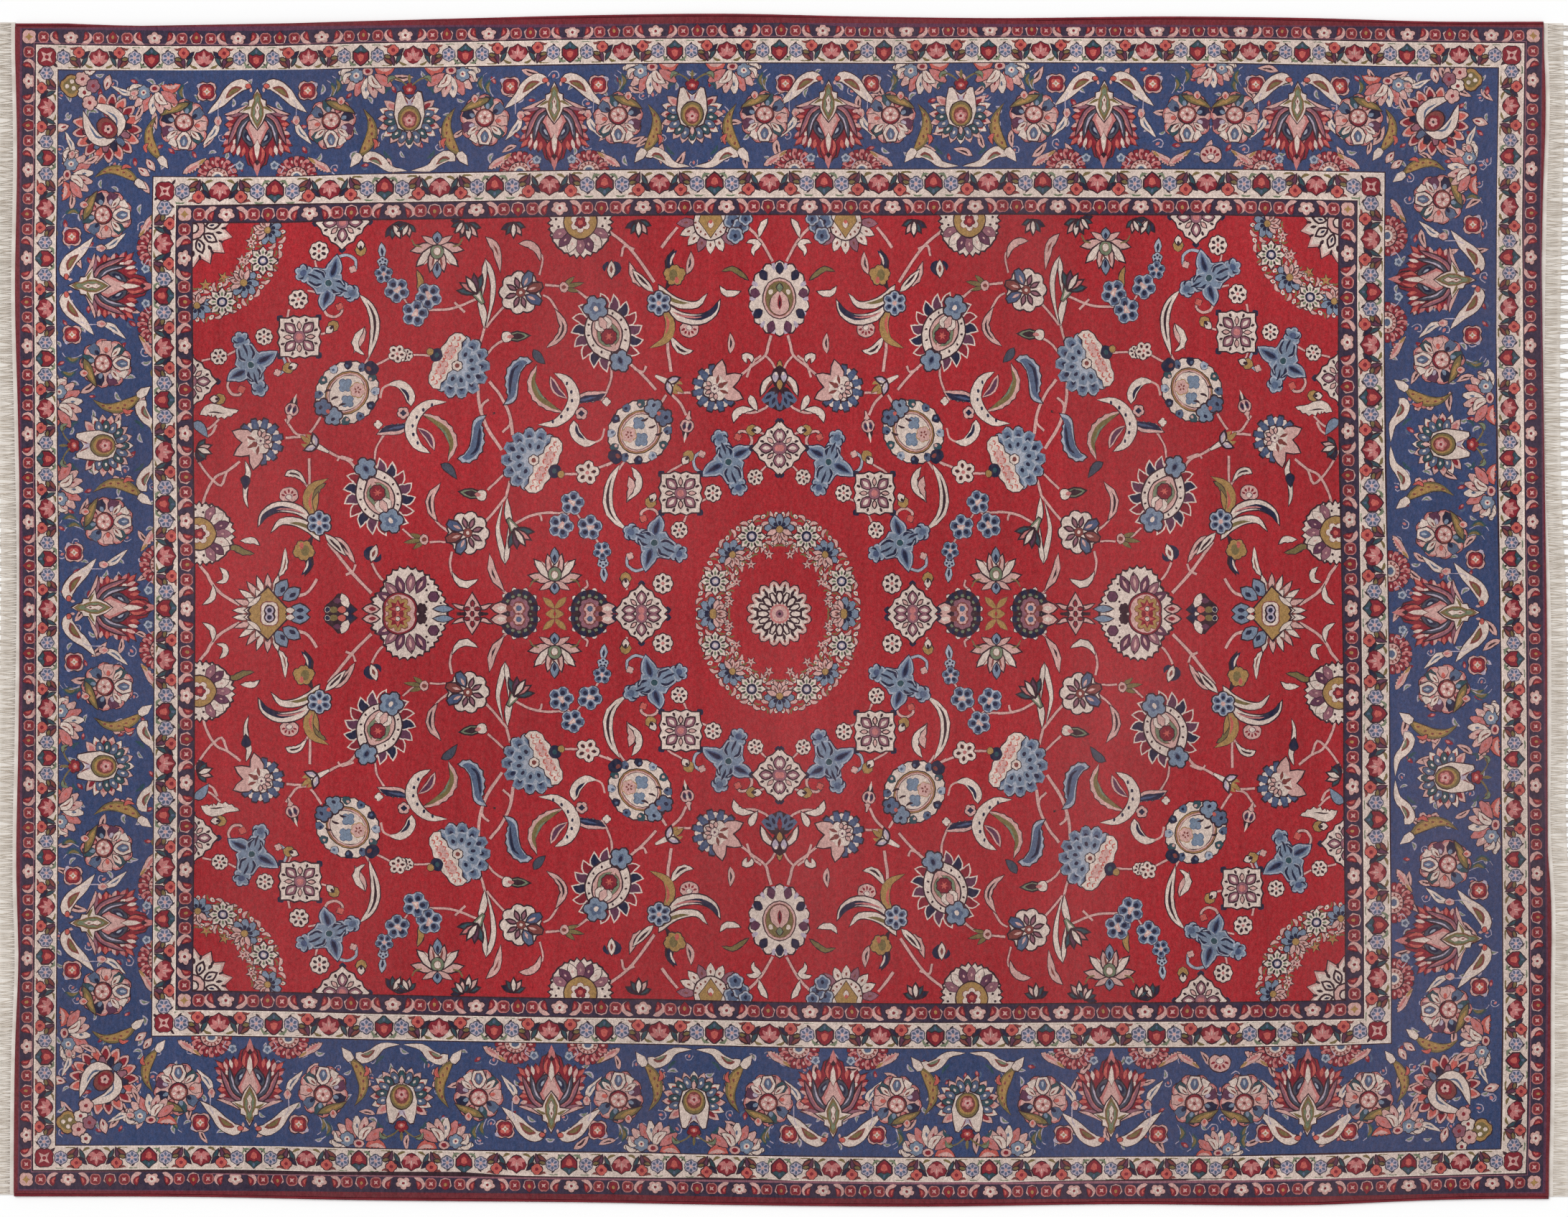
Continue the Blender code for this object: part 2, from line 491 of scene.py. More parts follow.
def tile_medallion(p):
    """An ivory tile on its point, with a mauve quatrefoil."""
    reach = np.tile([38.0, 31, 31, 27, 31, 31], 4)
    angle = np.arange(24) * math.pi / 12
    edge = np.column_stack([reach * np.sin(angle), reach * np.cos(angle)])
    p.many("navy", around(4, 33, drop(11, 11)))
    p.area("ivory", edge, 2)
    p.many("mauve", around(4, 9, drop(18, 13)), 2)
    p.many("ivory", around(4, 12, drop(12, 6)))
    p.many("outline", around(8, 22, drop(7, 4), start=22.5))
    p.many("blush", around(4, 11, drop(10, 5), start=45), 1.5)
    p.area("mauve", oval(8.5), 1)
    p.area("rose", oval(5))


def corner_medallion(p):
    p.area("outline", star(14, 57, 44))
    p.area("blush", star(14, 55, 42))
    p.area("ivory", star(14, 50, 38))
    p.many("outline", around(14, 38, drop(9, 4), start=12.9))
    p.many("ivory", around(9, 19, drop(16, 9)), 3)
    p.many("navy", around(9, 21, drop(9, 3.6)))
    p.many("outline", around(9, 31, drop(10, 5), start=20))
    p.area("blush", oval(15), 2)
    p.area("ivory", oval(5.5), 2.5)


def middle_medallion(p):
    """The ivory rosette at the middle of the carpet."""
    p.area("blush", lobes(16, 46, 0.18, start=11.25), 1.5)
    p.area("ivory", lobes(16, 42.5, 0.16, start=11.25))
    p.many("rust", around(16, 39.5, oval(2.2, 2.4, 6), start=11.25))
    p.many("outline", around(16, 28.5, drop(10.5, 5.2), start=11.25))
    p.many("ivory", around(8, 16, drop(13.5, 7, 0.5)), 2.8)
    p.many("ivory", around(8, 17, drop(12.5, 5.6, 0.5), start=22.5), 2.2)
    p.area("rose", lobes(16, 14.5, 0.1))
    p.area("blush", oval(11, count=14))
    p.area("mauve", oval(6))
    p.area("outline", oval(2.5, count=6))


def lotus(p):
    for lean in (-100, 100, -58, 58):
        p.area("plum", petal(34, 6, lean, 0, -7), 1.5)
    for lean, length, dye in ((78, 41, "blush"), (44, 45, "ivory"), (15, 42, "blush")):
        for side in (-1, 1):
            p.area(dye, petal(length - 4, 13, side * lean, 0, -12.5), 2)
            p.area("rust", petal(length - 18, 3.4, side * lean, side * 1.5, -4))
            p.area("ivory", petal(length - 15, 3.4, side * lean, side * -2, -6))
    p.area("sky", drop(23, 12) + (0, 11.5), 1.5)
    p.area("navy", drop(12, 5.5) + (0, 13))
    p.area("sage", profile((11, 10, 9, 9, 8)) + (0, -4), 1.3)
    p.area("ivory", oval(4.5, 5.5, 9, 0, -4), 0.8, "rust")
    p.both("blush", blade([(0, -14), (10, -19), (21, -25)], 8), 1.3)
    p.area("sky", petal(16, 13, 180, 0, -15), 1.5)
    p.area("navy", petal(9, 6, 180, 0, -16))
    p.both("olive", ribbon([(22, -10), (31, -13), (36, -21)], 2.2))


def sky_star(p):
    """A light blue flower with two knobbed ends, two pointed arms and curling pink hooks."""
    right_arm = [(6, 6), (17, 8), (27, 7), (37, 10)]
    left_arm = [(-6, 2), (-17, 0), (-28, -1), (-40, -4)]
    body = [(0, 28), (9, 25), (11, 16), (17, 12), (15, 2), (19, -7), (14, -14), (11, -26), (0, -30)]
    knob = lobes(5, 11, 0.22) + (0, 36)
    foot = lobes(6, 12, 0.3) + (1, -36)
    shapes = (blade(right_arm, 19, 0.4), blade(left_arm, 20, 0.4), mirrored(body), knob, foot)
    p.area("blush", ribbon([(34, 9), (41, 18), (39, 30), (29, 35), (23, 29)], 3.4), 0.8)
    p.area("mist", ribbon([(-37, -3), (-46, 8), (-44, 22), (-33, 27)], 3.6), 0.8)
    p.area("coral", lobes(4, 5.6, 0.3) + (24, 29), 0.7)
    p.area("blush", lobes(4, 5.4, 0.3) + (-31, 24), 0.7)
    for dye, by in (("navy", 2.2), ("mist", 0.9), ("sky", -1.1)):
        p.many(dye, (grown(shape, by) for shape in shapes))
    p.area("denim", blade([(8, 6), (20, 7), (34, 9)], 9, 0.4))
    p.area("navy", blade([(11, 6), (20, 7), (30, 8)], 5.4, 0.4))
    p.area("denim", blade([(-8, 1), (-20, 0), (-36, -3)], 9.4, 0.4))
    p.area("navy", blade([(-11, 1), (-20, 0), (-32, -2)], 5.6, 0.4))
    p.area("steel", oval(5, 5.4, 8, 0, 37))
    p.area("denim", oval(5, 4.6, 8, 1, -37))
    p.both("navy", blade([(3, 25), (9, 18), (6, 8)], 5.6))
    p.both("navy", blade([(4, -7), (11, -13), (8, -27)], 5.8))
    p.area("navy", blade([(0, 31), (1, 22), (0, 12)], 3.4))
    p.area("navy", blade([(0, -31), (-1, -22), (0, -10)], 3.4))
    p.both("navy", blade([(5, 38), (9, 36), (10, 30)], 2.6))
    p.both("navy", blade([(4, -34), (9, -36), (11, -42)], 2.6))
    p.both("mist", ribbon([(6, 22), (11, 14), (9, 4)], 1.2))
    p.both("mist", ribbon([(6, -6), (12, -12), (11, -24)], 1.2))
    p.area("teal", oval(4.6, 5, 8, 0, 1), 0.9, "mist")


def blue_palmette(p):
    """Scaled blue petals over an ivory cloud."""
    p.area("mist", lobes(13, 47.5, 0.17, squash=0.84) + (0, 3), 1.5)
    p.many("sky", around(9, 26, drop(19, 16, 0.7), start=-112, span=224))
    p.many("steel", around(9, 27, drop(14, 10, 0.7), start=-112, span=224))
    p.many("navy", around(9, 32, oval(3.3, 4.2, 7), start=-112, span=224))
    p.many("mist", around(6, 12, drop(20, 17, 0.7), start=-90, span=180))
    p.many("sky", around(6, 12, drop(18, 14.5, 0.7), start=-90, span=180))
    p.many("navy", around(6, 20, oval(2.8, 3.8, 7), start=-90, span=180))
    cloud = [(0, -9), (9, -7), (16, -11), (25, -9), (33, -13), (42, -10), (45, -19), (41, -28), (32, -33)]
    p.area("ivory", mirrored(cloud + [(23, -33), (14, -36), (0, -34)]), 1.3)
    p.both("blush", mirrored([(5, -14), (12, -18), (9, -29), (0, -29)]) + (13, 0))
    for x, y in ((6, -17), (17, -16), (27, -17), (36, -19), (12, -26), (23, -26), (33, -26), (2, -25)):
        p.both("coral", ribbon([(x - 3.5, y - 1.5), (x, y + 1.8), (x + 3.5, y - 1)], 1.6, 3))
    p.area("ivory", lobes(6, 7.5, 0.15) + (0, -3), 1.3)
    p.area("rust", oval(3.6, count=8, y=-3))
    p.area("navy", profile((9, 9, 10, 9, 7)) + (0, -38), 0.8)
    p.area("teal", oval(4, 3.5, 7, 0, -37))
    p.area("gold", oval(5.5, 5, 8, 0, -48), 0.8)


def cloud_palmette(p):
    """A ring of blush clouds with dark cells round an ivory heart."""
    p.area("ivory", lobes(12, 42.3, 0.15, squash=1.1), 1.7)
    for k, cell in enumerate(around(12, 31.5, drop(11, 11, 0.7), start=15)):
        p.area(("navy", "steel", "teal", "mist")[k % 4], cell * (1, 1.1), 0.6)
        p.area(("steel", "navy", "blush", "steel")[k % 4], shrunk(cell, 0.4))
    p.area("gold", oval(27.8, 31.8, 18), 1.2)
    p.area("blush", oval(25.6, 29.4, 18), 0.9, "rust")
    p.area("ivory", oval(22.5, 26.5, 18), 0.9)
    p.area("sky", lobes(4, 10, 0.35) + (9, -6), 0.9, "steel")
    p.area("sky", lobes(4, 9, 0.35) + (-9, 8), 0.9, "steel")
    p.area("blush", lobes(6, 10.5, 0.15) + (-8, -13), 1, "gold")
    p.many("rust", around(5, 3.6, oval(1.4, 2, 5), x=-8, y=-13))
    for lean in (-6, 8, 22):
        p.area("outline", blade([(lean - 4, 12), (lean, 17), (lean + 1, 23)], 3.4))
    p.area("sky", lobes(5, 13, 0.28) + (-9, 37), 2)
    p.area("steel", lobes(5, 12, 0.28) + (10, 38), 2)
    p.area("coral", oval(3, count=7, x=1, y=37))
    p.both("navy", oval(2.6, 3.4, 6, 12, 40))
    p.area("navy", profile((9, 9, 10, 10, 8)) + (0, -48), 0.8)
    p.area("rust", oval(4, 3, 7, 2, -45))


def star_palmette(p):
    """A blush star with a half ring of blue petals and ivory beads."""
    p.many("outline", around(8, 13, drop(29, 17, 0.6), start=-108, span=216))
    p.many("ivory", around(7, 31, oval(4.6, 5.4, 8), start=-92, span=184), 1.3)
    p.many("denim", around(8, 16, drop(23, 13, 0.6), start=-108, span=216))
    p.many("steel", around(8, 18, drop(14, 6, 0.6), start=-108, span=216))
    for lean in (130, 180, 230):
        p.area("outline", petal(51, 27, lean, 0, -1))
    p.area("outline", lobes(8, 24, 0.14))
    for lean in (130, 180, 230):
        p.area("blush", petal(48, 23, lean, 0, -1))
    p.area("ivory", lobes(8, 22, 0.14))
    p.many("blush", around(5, 9, drop(10, 6), start=-62, span=124), 1.5)
    for lean in (130, 180, 230):
        p.area("rust", set_out(drop(17, 6), lean, 7))
    p.area("rust", oval(5, 5, 8, 0, -10))
    p.area("ivory", lobes(6, 7, 0.2) + (0, 2), 0.9, "plum")
    p.area("plum", oval(2.4, count=6, y=2))


def leaf_palmette(p):
    """A tall palmette ringed with dark red leaves tipped in ivory."""
    slanted = blade([(-3, 0), (2, 9), (-2, 20)], 12, 0.42)
    for k, leaf in enumerate(around(17, 27, slanted, start=10)):
        p.area("ivory", grown(leaf * (1, 1.14), 1.3))
        p.area(("ruby", "plum", "navy")[k % 3], grown(leaf * (1, 1.14), -0.4))
    p.area("ivory", profile((43, 35, 31, 29, 30, 32, 36)), 2)
    for k, spot in enumerate(around(12, 25.5, oval(1.5, 2.2, 5), start=15)):
        p.area("outline", spot * (1, 1.14))
    p.area("blush", profile((28, 22, 20, 19, 20, 23, 26)), 2)
    p.both("sage", blade([(3, 20), (12, 6), (8, -16)], 6), 0.9, "rust")
    p.both("ivory", blade([(2, -4), (9, -12), (2, -26)], 6), 0.8)
    p.area("ruby", lobes(8, 10.5, 0.12) + (0, 6), 1.3)
    p.area("coral", star(6, 6, 2.4) + (0, 6))
    p.area("sky", lobes(5, 15, 0.3) + (0, 43), 2)
    p.area("steel", drop(15, 9) + (0, 35))
    p.area("navy", oval(2.6, 4.5, 7, 0, 42))
    p.area("sky", lobes(5, 17, 0.3, start=36) + (0, -37), 2)
    p.area("steel", lobes(5, 9, 0.3, start=36) + (0, -37))
    p.area("ivory", oval(3.2, 4.5, 7, 0, -36))


def cell_palmette(p):
    """A tall oval of ivory clouds and navy cells round a small gilt vase."""
    p.area("ivory", lobes(14, 43.2, 0.17, squash=1.2), 1.8)
    p.many("lilac", (shape * (1, 1.2) for shape in around(14, 33, drop(9, 5.5, 0.8), start=12.9)))
    for k, cell in enumerate(around(9, 28, drop(13, 11, 0.4), start=0)):
        p.area(("navy", "plum")[k % 2], cell * (1, 1.2), 0.8)
    p.area("blush", oval(23, 27.5, 18), 1.5)
    p.area("olive", oval(19.5, 24, 16), 0.9, "rust")
    p.area("blush", profile((14, 12, 13, 17, 19)) + (0, -4), 0.9)
    p.area("sage", drop(12, 9) + (0, 9), 0.8)
    p.both("ivory", oval(3.4, 4, 7, 12.5, 9))
    p.area("ruby", blade([(0, -16), (0, -6), (0, 6)], 6))
    p.area("outline", blade([(0, -13), (0, -7), (0, 0)], 2.4))


def blue_lotus(p):
    """Spiky ivory petals on one side, blue petals on the other and a gilt square between."""
    for k, leaf in enumerate(around(13, 8, drop(44, 13), start=76, span=208)):
        p.area("outline", leaf)
        p.area(("ivory", "blush")[k % 2], grown(leaf, -1.6))
    p.many("rust", around(12, 24, drop(15, 4), start=84, span=192))
    p.many("ivory", around(7, 6, drop(28, 12), start=95, span=170), 1)
    for lean, reach in ((-58, 22), (58, 22), (-34, 26), (34, 26), (0, 30)):
        p.area("sky", set_out(drop(27, 17.5), lean, reach, 0, -3), 1.8)
        p.area("navy", set_out(drop(11, 6.5), lean, reach + 6))
    gilt = mirrored([(0, 25), (22, 5), (31, -2), (20, -14), (0, -28)])
    p.area("gold", gilt, 2.2)
    p.area("ivory", lobes(4, 12.5, 0.12, start=45), 1.5, "rust")
    p.area("outline", oval(8, count=10))
    p.area("navy", oval(3.4, count=8), 2.6, "lilac")
    p.area("ivory", drop(12, 8) + (0, 22), 0.8)
    p.both("ivory", blade([(5, -30), (12, -20), (20, -12)], 6), 0.8)


def great_palmette(p):
    """The large ivory palmette on the long axis, its tip to the middle of the carpet."""
    p.area("outline", profile((60, 57, 56, 58, 60, 62, 62, 56, 50, 56, 56), 5, 34, 0.1))
    p.area("ivory", profile((57, 54, 53, 55, 57, 59, 59, 53, 46, 52, 52), 5, 34, 0.1))
    for side in (-1, 1):
        for lean, reach, dye in (
            (62, 25, "plum"), (84, 23, "mauve"), (108, 21, "plum"), (130, 21, "mauve"), (152, 21, "plum"),
        ):
            p.area(dye, set_out(drop(27, 13), side * lean, reach), 1)
            p.area("blush", set_out(drop(14, 4), side * lean, reach + 6))
    p.both("plum", lobes(6, 7, 0.15) + (17, 36), 1.5)
    for x, y in ((8, 46), (28, 42), (34, 28), (40, 18), (47, 6), (26, 26), (10, 26)):
        p.both("outline", oval(1.8, 1.8, 6, x, y))
    p.area("outline", lobes(7, 8.5, 0.15) + (0, 19))
    p.area("ruby", profile((26.5, 25.5, 23.5, 22.5, 21.5, 20.5, 20.5)) + (0, -14), 1.5)
    p.area("blush", profile((24, 23, 21, 20, 19, 18, 18)) + (0, -14))
    p.area("gold", lobes(8, 18, 0.3) + (0, -14), 1, "rust")
    p.area("ruby", star(8, 14, 8) + (0, -14))
    p.area("coral", star(4, 11, 4) + (0, -14))
    p.area("ivory", oval(3, count=8, y=-14), 0.8)
    p.area("sky", drop(27, 9) + (0, 36), 1.5)
    p.area("blush", petal(22, 12, 180, 0, -40), 2)
    p.area("ruby", petal(11, 6, 180, 0, -44))


def navy_round(p):
    """A round navy palmette with ivory beads and one blush point."""
    p.many("ivory", around(9, 25, oval(3.6, 4.6, 7), start=40, span=280), 0.8)
    p.area("outline", oval(26.5, 27, 20))
    p.many("navy", around(11, 17, drop(9.5, 9.5, 0.8), start=16, span=328))
    p.many("sage", around(11, 15, drop(5, 5, 0.8), start=32, span=296))
    p.area("outline", oval(16.5, 17, 14))
    p.area("mauve", lobes(8, 15.2, 0.14))
    p.area("rust", oval(9.5, count=12))
    p.area("blush", lobes(6, 8, 0.2))
    p.area("steel", oval(4.4, count=8))
    p.area("blush", drop(25, 15) + (0, 13), 2)
    p.area("ivory", drop(13, 7) + (0, 18))
    p.area("rust", oval(4.6, 5, 8, 0, 13))


def point_flower(p):
    """A small diamond flower with a plume at each side."""
    p.both("blush", blade([(6, 2), (17, 2), (28, 7)], 5), 2)
    p.both("outline", blade([(4, -4), (15, -8), (24, -6)], 7))
    p.area("blush", mirrored([(0, 23), (8, 9), (12.5, 0), (7, -9), (0, -19)]), 1.8)
    p.many("ruby", around(4, 3, drop(9, 5)), 1.5)
    p.area("blush", oval(3.4, count=7))


def gold_cross(p):
    for lean in (45, 135, 225, 315):
        p.area("gold", petal(23, 9, lean), 0.7, "rust")


def drop_bud(p):
    """A broad bud on the long axis: dark tip, ivory leaves and a rose heart."""
    p.area("outline", mirrored([(0, 27), (9, 16), (23, 8), (24, -3), (15, -11), (7, -21), (0, -24)]))
    p.area("navy", mirrored([(0, 24), (7, 14), (5, 6), (0, 8)]))
    p.both("ivory", blade([(3, 12), (14, 7), (24, 3)], 12), 0.8)
    p.both("plum", drop(13, 9) + (13, -10))
    p.area("olive", oval(5, 6, 8, 0, -9))
    p.area("coral", oval(5, 6, 9, 0, 3), 0.8)
    p.area("navy", oval(4, 3.6, 8, 0, -18), 0.8, "ivory")


def half_daisy(p):
    """A white daisy with three dark and blue petals on one side."""
    p.area("ivory", lobes(9, 29.5, 0.14), 2)
    for lean, dye in ((-46, "steel"), (0, "rust"), (46, "denim")):
        p.area(dye, set_out(drop(22, 13, 0.5), lean, 9), 2)
        p.area("blush", set_out(drop(12, 4), lean, 11))
    for lean in (92, 132, 180, 228, 268):
        p.area("mauve", set_out(drop(12, 4.5), lean, 8), 2.2)
    p.area("rust", lobes(6, 6.5, 0.15), 0.8)
    p.area("ivory", oval(2.6, count=7))


def arabesque(p):
    """Crescent leaves, a gold flame and a blue flower crossing at one stem."""
    p.area("ivory", blade([(-12, 8), (-26, 22), (-40, 38)], 10), 1.3)
    p.area("outline", blade([(-17, 14), (-27, 24), (-35, 33)], 3.4))
    p.area("gold", blade([(3, -16), (12, -36), (6, -58), (-17, -70)], 13, 0.4), 0.9)
    p.area("coral", blade([(6, -24), (9, -38), (5, -52)], 4))
    p.area("outline", blade([(4, 8), (14, 30), (10, 50), (18, 68)], 13, 0.5))
    p.area("gold", profile((18, 16, 18, 14, 12, 13, 10), 3, 12, 0.12) + (18, 28), 1.3)
    p.area("olive", oval(6, 8, 8, 16, 31))
    p.area("coral", oval(3, 5, 7, 21, 24))
    p.area("navy", blade([(10, 40), (12, 54), (22, 66)], 8))
    p.area("ivory", blade([(12, 44), (14, 54), (19, 62)], 3))
    p.area("ivory", blade([(6, -9), (24, -26), (52, -31), (72, -21), (81, -4)], 13.5, 0.45), 1.8)
    p.area("navy", blade([(18, -20), (34, -27), (54, -28), (72, -18), (79, -6)], 8, 0.6))
    p.area("rose", blade([(14, -19), (26, -25), (44, -28), (56, -27)], 3))
    p.area("ivory", blade([(-4, 17), (7, 2), (26, -9), (49, -10), (63, 5)], 12, 0.4), 1.5)
    p.area("olive", blade([(0, 10), (9, 0), (25, -7), (40, -8)], 5.4, 0.45))
    p.area("mist", lobes(6, 17.2, 0.22) + (-4, -8), 1.8)
    p.many("steel", around(6, 4, drop(11, 8, 0.7), x=-4, y=-8))
    p.many("navy", around(6, 9, oval(2.6, 3, 6), x=-4, y=-8))
    p.area("blush", oval(3.4, count=7, x=-4, y=-8))


def crossed_blades(p):
    """Curved blades crossing: ivory, green, plum and navy, with a bud and a curled leaf."""
    olive_spine = [(-50, 50), (-58, 27), (-50, 6), (-34, -8), (-14, -17)]
    p.area("blush", blade(olive_spine, 14, 0.5, teeth=0.25), 1)
    p.area("olive", blade([(-51, 42), (-55, 26), (-48, 8), (-33, -5), (-17, -15)], 8, 0.5))
    p.area("sage", blade([(-53, 28), (-46, 10), (-36, 0)], 3, 0.5))
    p.area("blush", blade([(-31, 34), (-23, 15), (-8, 3)], 11), 0.9)
    p.area("plum", blade([(-30, 31), (-22, 14), (-9, 4)], 6.4))
    p.area("blush", blade([(0, -3), (18, 4), (36, 6), (49, 12)], 15, 0.45, teeth=0.3), 0.9)
    p.area("navy", blade([(2, -3), (18, 2), (35, 4), (46, 10)], 10, 0.45))
    p.area("denim", blade([(8, 0), (20, 2), (34, 5)], 3.4))
    p.area("ivory", blade([(1, -28), (4, -46), (18, -59), (34, -57)], 14, 0.35), 1)
    p.area("blush", ribbon([(30, -58), (40, -53), (44, -39)], 2.8))
    p.area("navy", blade([(4, -33), (7, -45), (17, -54)], 4.6))
    spine = [(-25, 38), (-7, 27), (2, 5), (-6, -16), (-24, -31), (-48, -33)]
    p.area("ivory", blade(spine, 16, 0.46), 1.1)
    for x, y in ((-8, 24), (-2, 12), (-1, 0), (-7, -12), (-16, -22), (-28, -29)):
        p.area("navy", oval(1.9, 3, 6, x, y))
    p.area("blush", lobes(5, 8.4, 0.2) + (12, -18), 1.2)
    p.area("navy", lobes(4, 4.4, 0.3) + (12, -18))
    p.area("ivory", lobes(4, 6, 0.3) + (47, -2), 0.8)


def blue_leaf(p):
    """A long blue leaf with a navy rib and a hooked tip."""
    spine = [(12, 36), (0, 30), (-6, 12), (0, -8), (8, -24), (2, -38)]
    p.area("mist", blade(spine, 20, 0.45, 4, 0.24), 1.6)
    p.area("steel", blade([(8, 32), (0, 27), (-4, 12), (1, -8), (6, -21), (3, -33)], 14, 0.45))
    p.area("navy", blade([(-2, 24), (-7, 12), (-2, -8), (4, -22)], 4.5))


def feather_leaf(p):
    p.area("ivory", blade([(-36, 2), (-18, 10), (4, 6), (26, 12)], 22, 0.45, 5, 0.42), 1.3)
    p.area("outline", blade([(-24, 6), (-12, 7), (6, 5)], 2.4))


def iris(p):
    """A pendant iris: dark hood, ivory wings and a blue skirt."""
    p.area("outline", mirrored([(0, 4), (12, 0), (20, -8), (22, -20), (12, -27), (0, -33)]))
    p.many("steel", around(5, 8, drop(22, 12, 0.5), start=128, span=104))
    p.many("navy", around(5, 14, drop(11, 5), start=128, span=104))
    p.both("ivory", blade([(3, 20), (19, 6), (26, -10)], 9.5), 1.8)
    p.both("rust", blade([(5, 14), (15, 5), (20, -4)], 3.4))
    p.area("outline", mirrored([(0, 32), (9, 26), (13, 16), (8, 4), (0, -6)]))
    p.both("lilac", drop(15, 9) + (6, 8))
    p.area("gold", drop(14, 8) + (0, -2))
    p.both("ivory", oval(2.4, 2.4, 6, 5, 20))
    p.area("ruby", petal(19, 7, 180, 0, -4))


def hung_palmette(p):
    """Half palmette hung from a border: ivory cloud, gilt branch and mauve petals."""
    p.area("outline", profile((58, 57, 56, 54, 52, 54, 52, 48, 50), 4, 30, 0.12))
    p.area("ivory", profile((55, 54, 53, 51, 49, 51, 49, 45, 47), 4, 30, 0.12))
    for k, leaf in enumerate(around(7, 22, drop(27, 15), start=-62, span=124)):
        p.area(("mauve", "ivory", "plum")[k % 3], leaf, 1)
        p.area("blush", shrunk(leaf, 0.2))
    for x, y in ((44, 4), (38, -6), (44, 16), (34, 6), (48, 10)):
        p.both("outline", oval(2.2, 2.2, 6, x, y))
    p.area("gold", profile((25, 24, 25, 26, 24)), 2)
    p.area("ivory", lobes(6, 16, 0.3), 0.9, "rust")
    p.area("ruby", lobes(5, 9, 0.3), 0.9)
    p.area("coral", oval(4, count=8))


def hung_blue(p):
    """Half palmette hung from a border: gilt heart, blue scales at one side and ivory petals."""
    for k, leaf in enumerate(around(9, 24, drop(28, 14), start=-84, span=168)):
        p.area(("ivory", "ivory", "mauve")[k % 3], leaf, 1.2)
        p.area("rust", shrunk(leaf, 0.25))
    p.area("ivory", profile((31, 29, 25, 24, 25)), 2)
    p.many("rust", around(9, 24, oval(1.8, 2.2, 6), start=-80, span=160))
    p.area("gold", mirrored([(0, 27), (9, 14), (18, 2), (14, -10), (0, -14)]), 1)
    p.area("ivory", drop(13, 9) + (0, 0), 0.9, "rust")
    p.area("coral", oval(3, count=7, y=3))
    for x, y, r in ((-34, 2, 14), (-46, 10, 13), (-38, 24, 13), (-54, -2, 11)):
        p.area("mist", lobes(5, r, 0.18) + (x, y), 1.5)
        p.area("steel", lobes(5, r * 0.75, 0.18) + (x, y))
        p.area("navy", oval(2.8, 3.6, 7, x, y + 1))


def garland_slip(p):
    """A pair of small leaves and a petal, as they fill the garlands."""
    p.area("blush", blade([(-6, -2), (0, 3), (7, 2)], 4.6), 0.7)
    p.area("olive", blade([(-5, -5), (1, -3), (6, -6)], 2.8))


def garland_petal(p):
    p.area("ivory", drop(8, 6, 0.4) + (0, -4), 0.8)
    p.area("coral", oval(1.6, count=5))


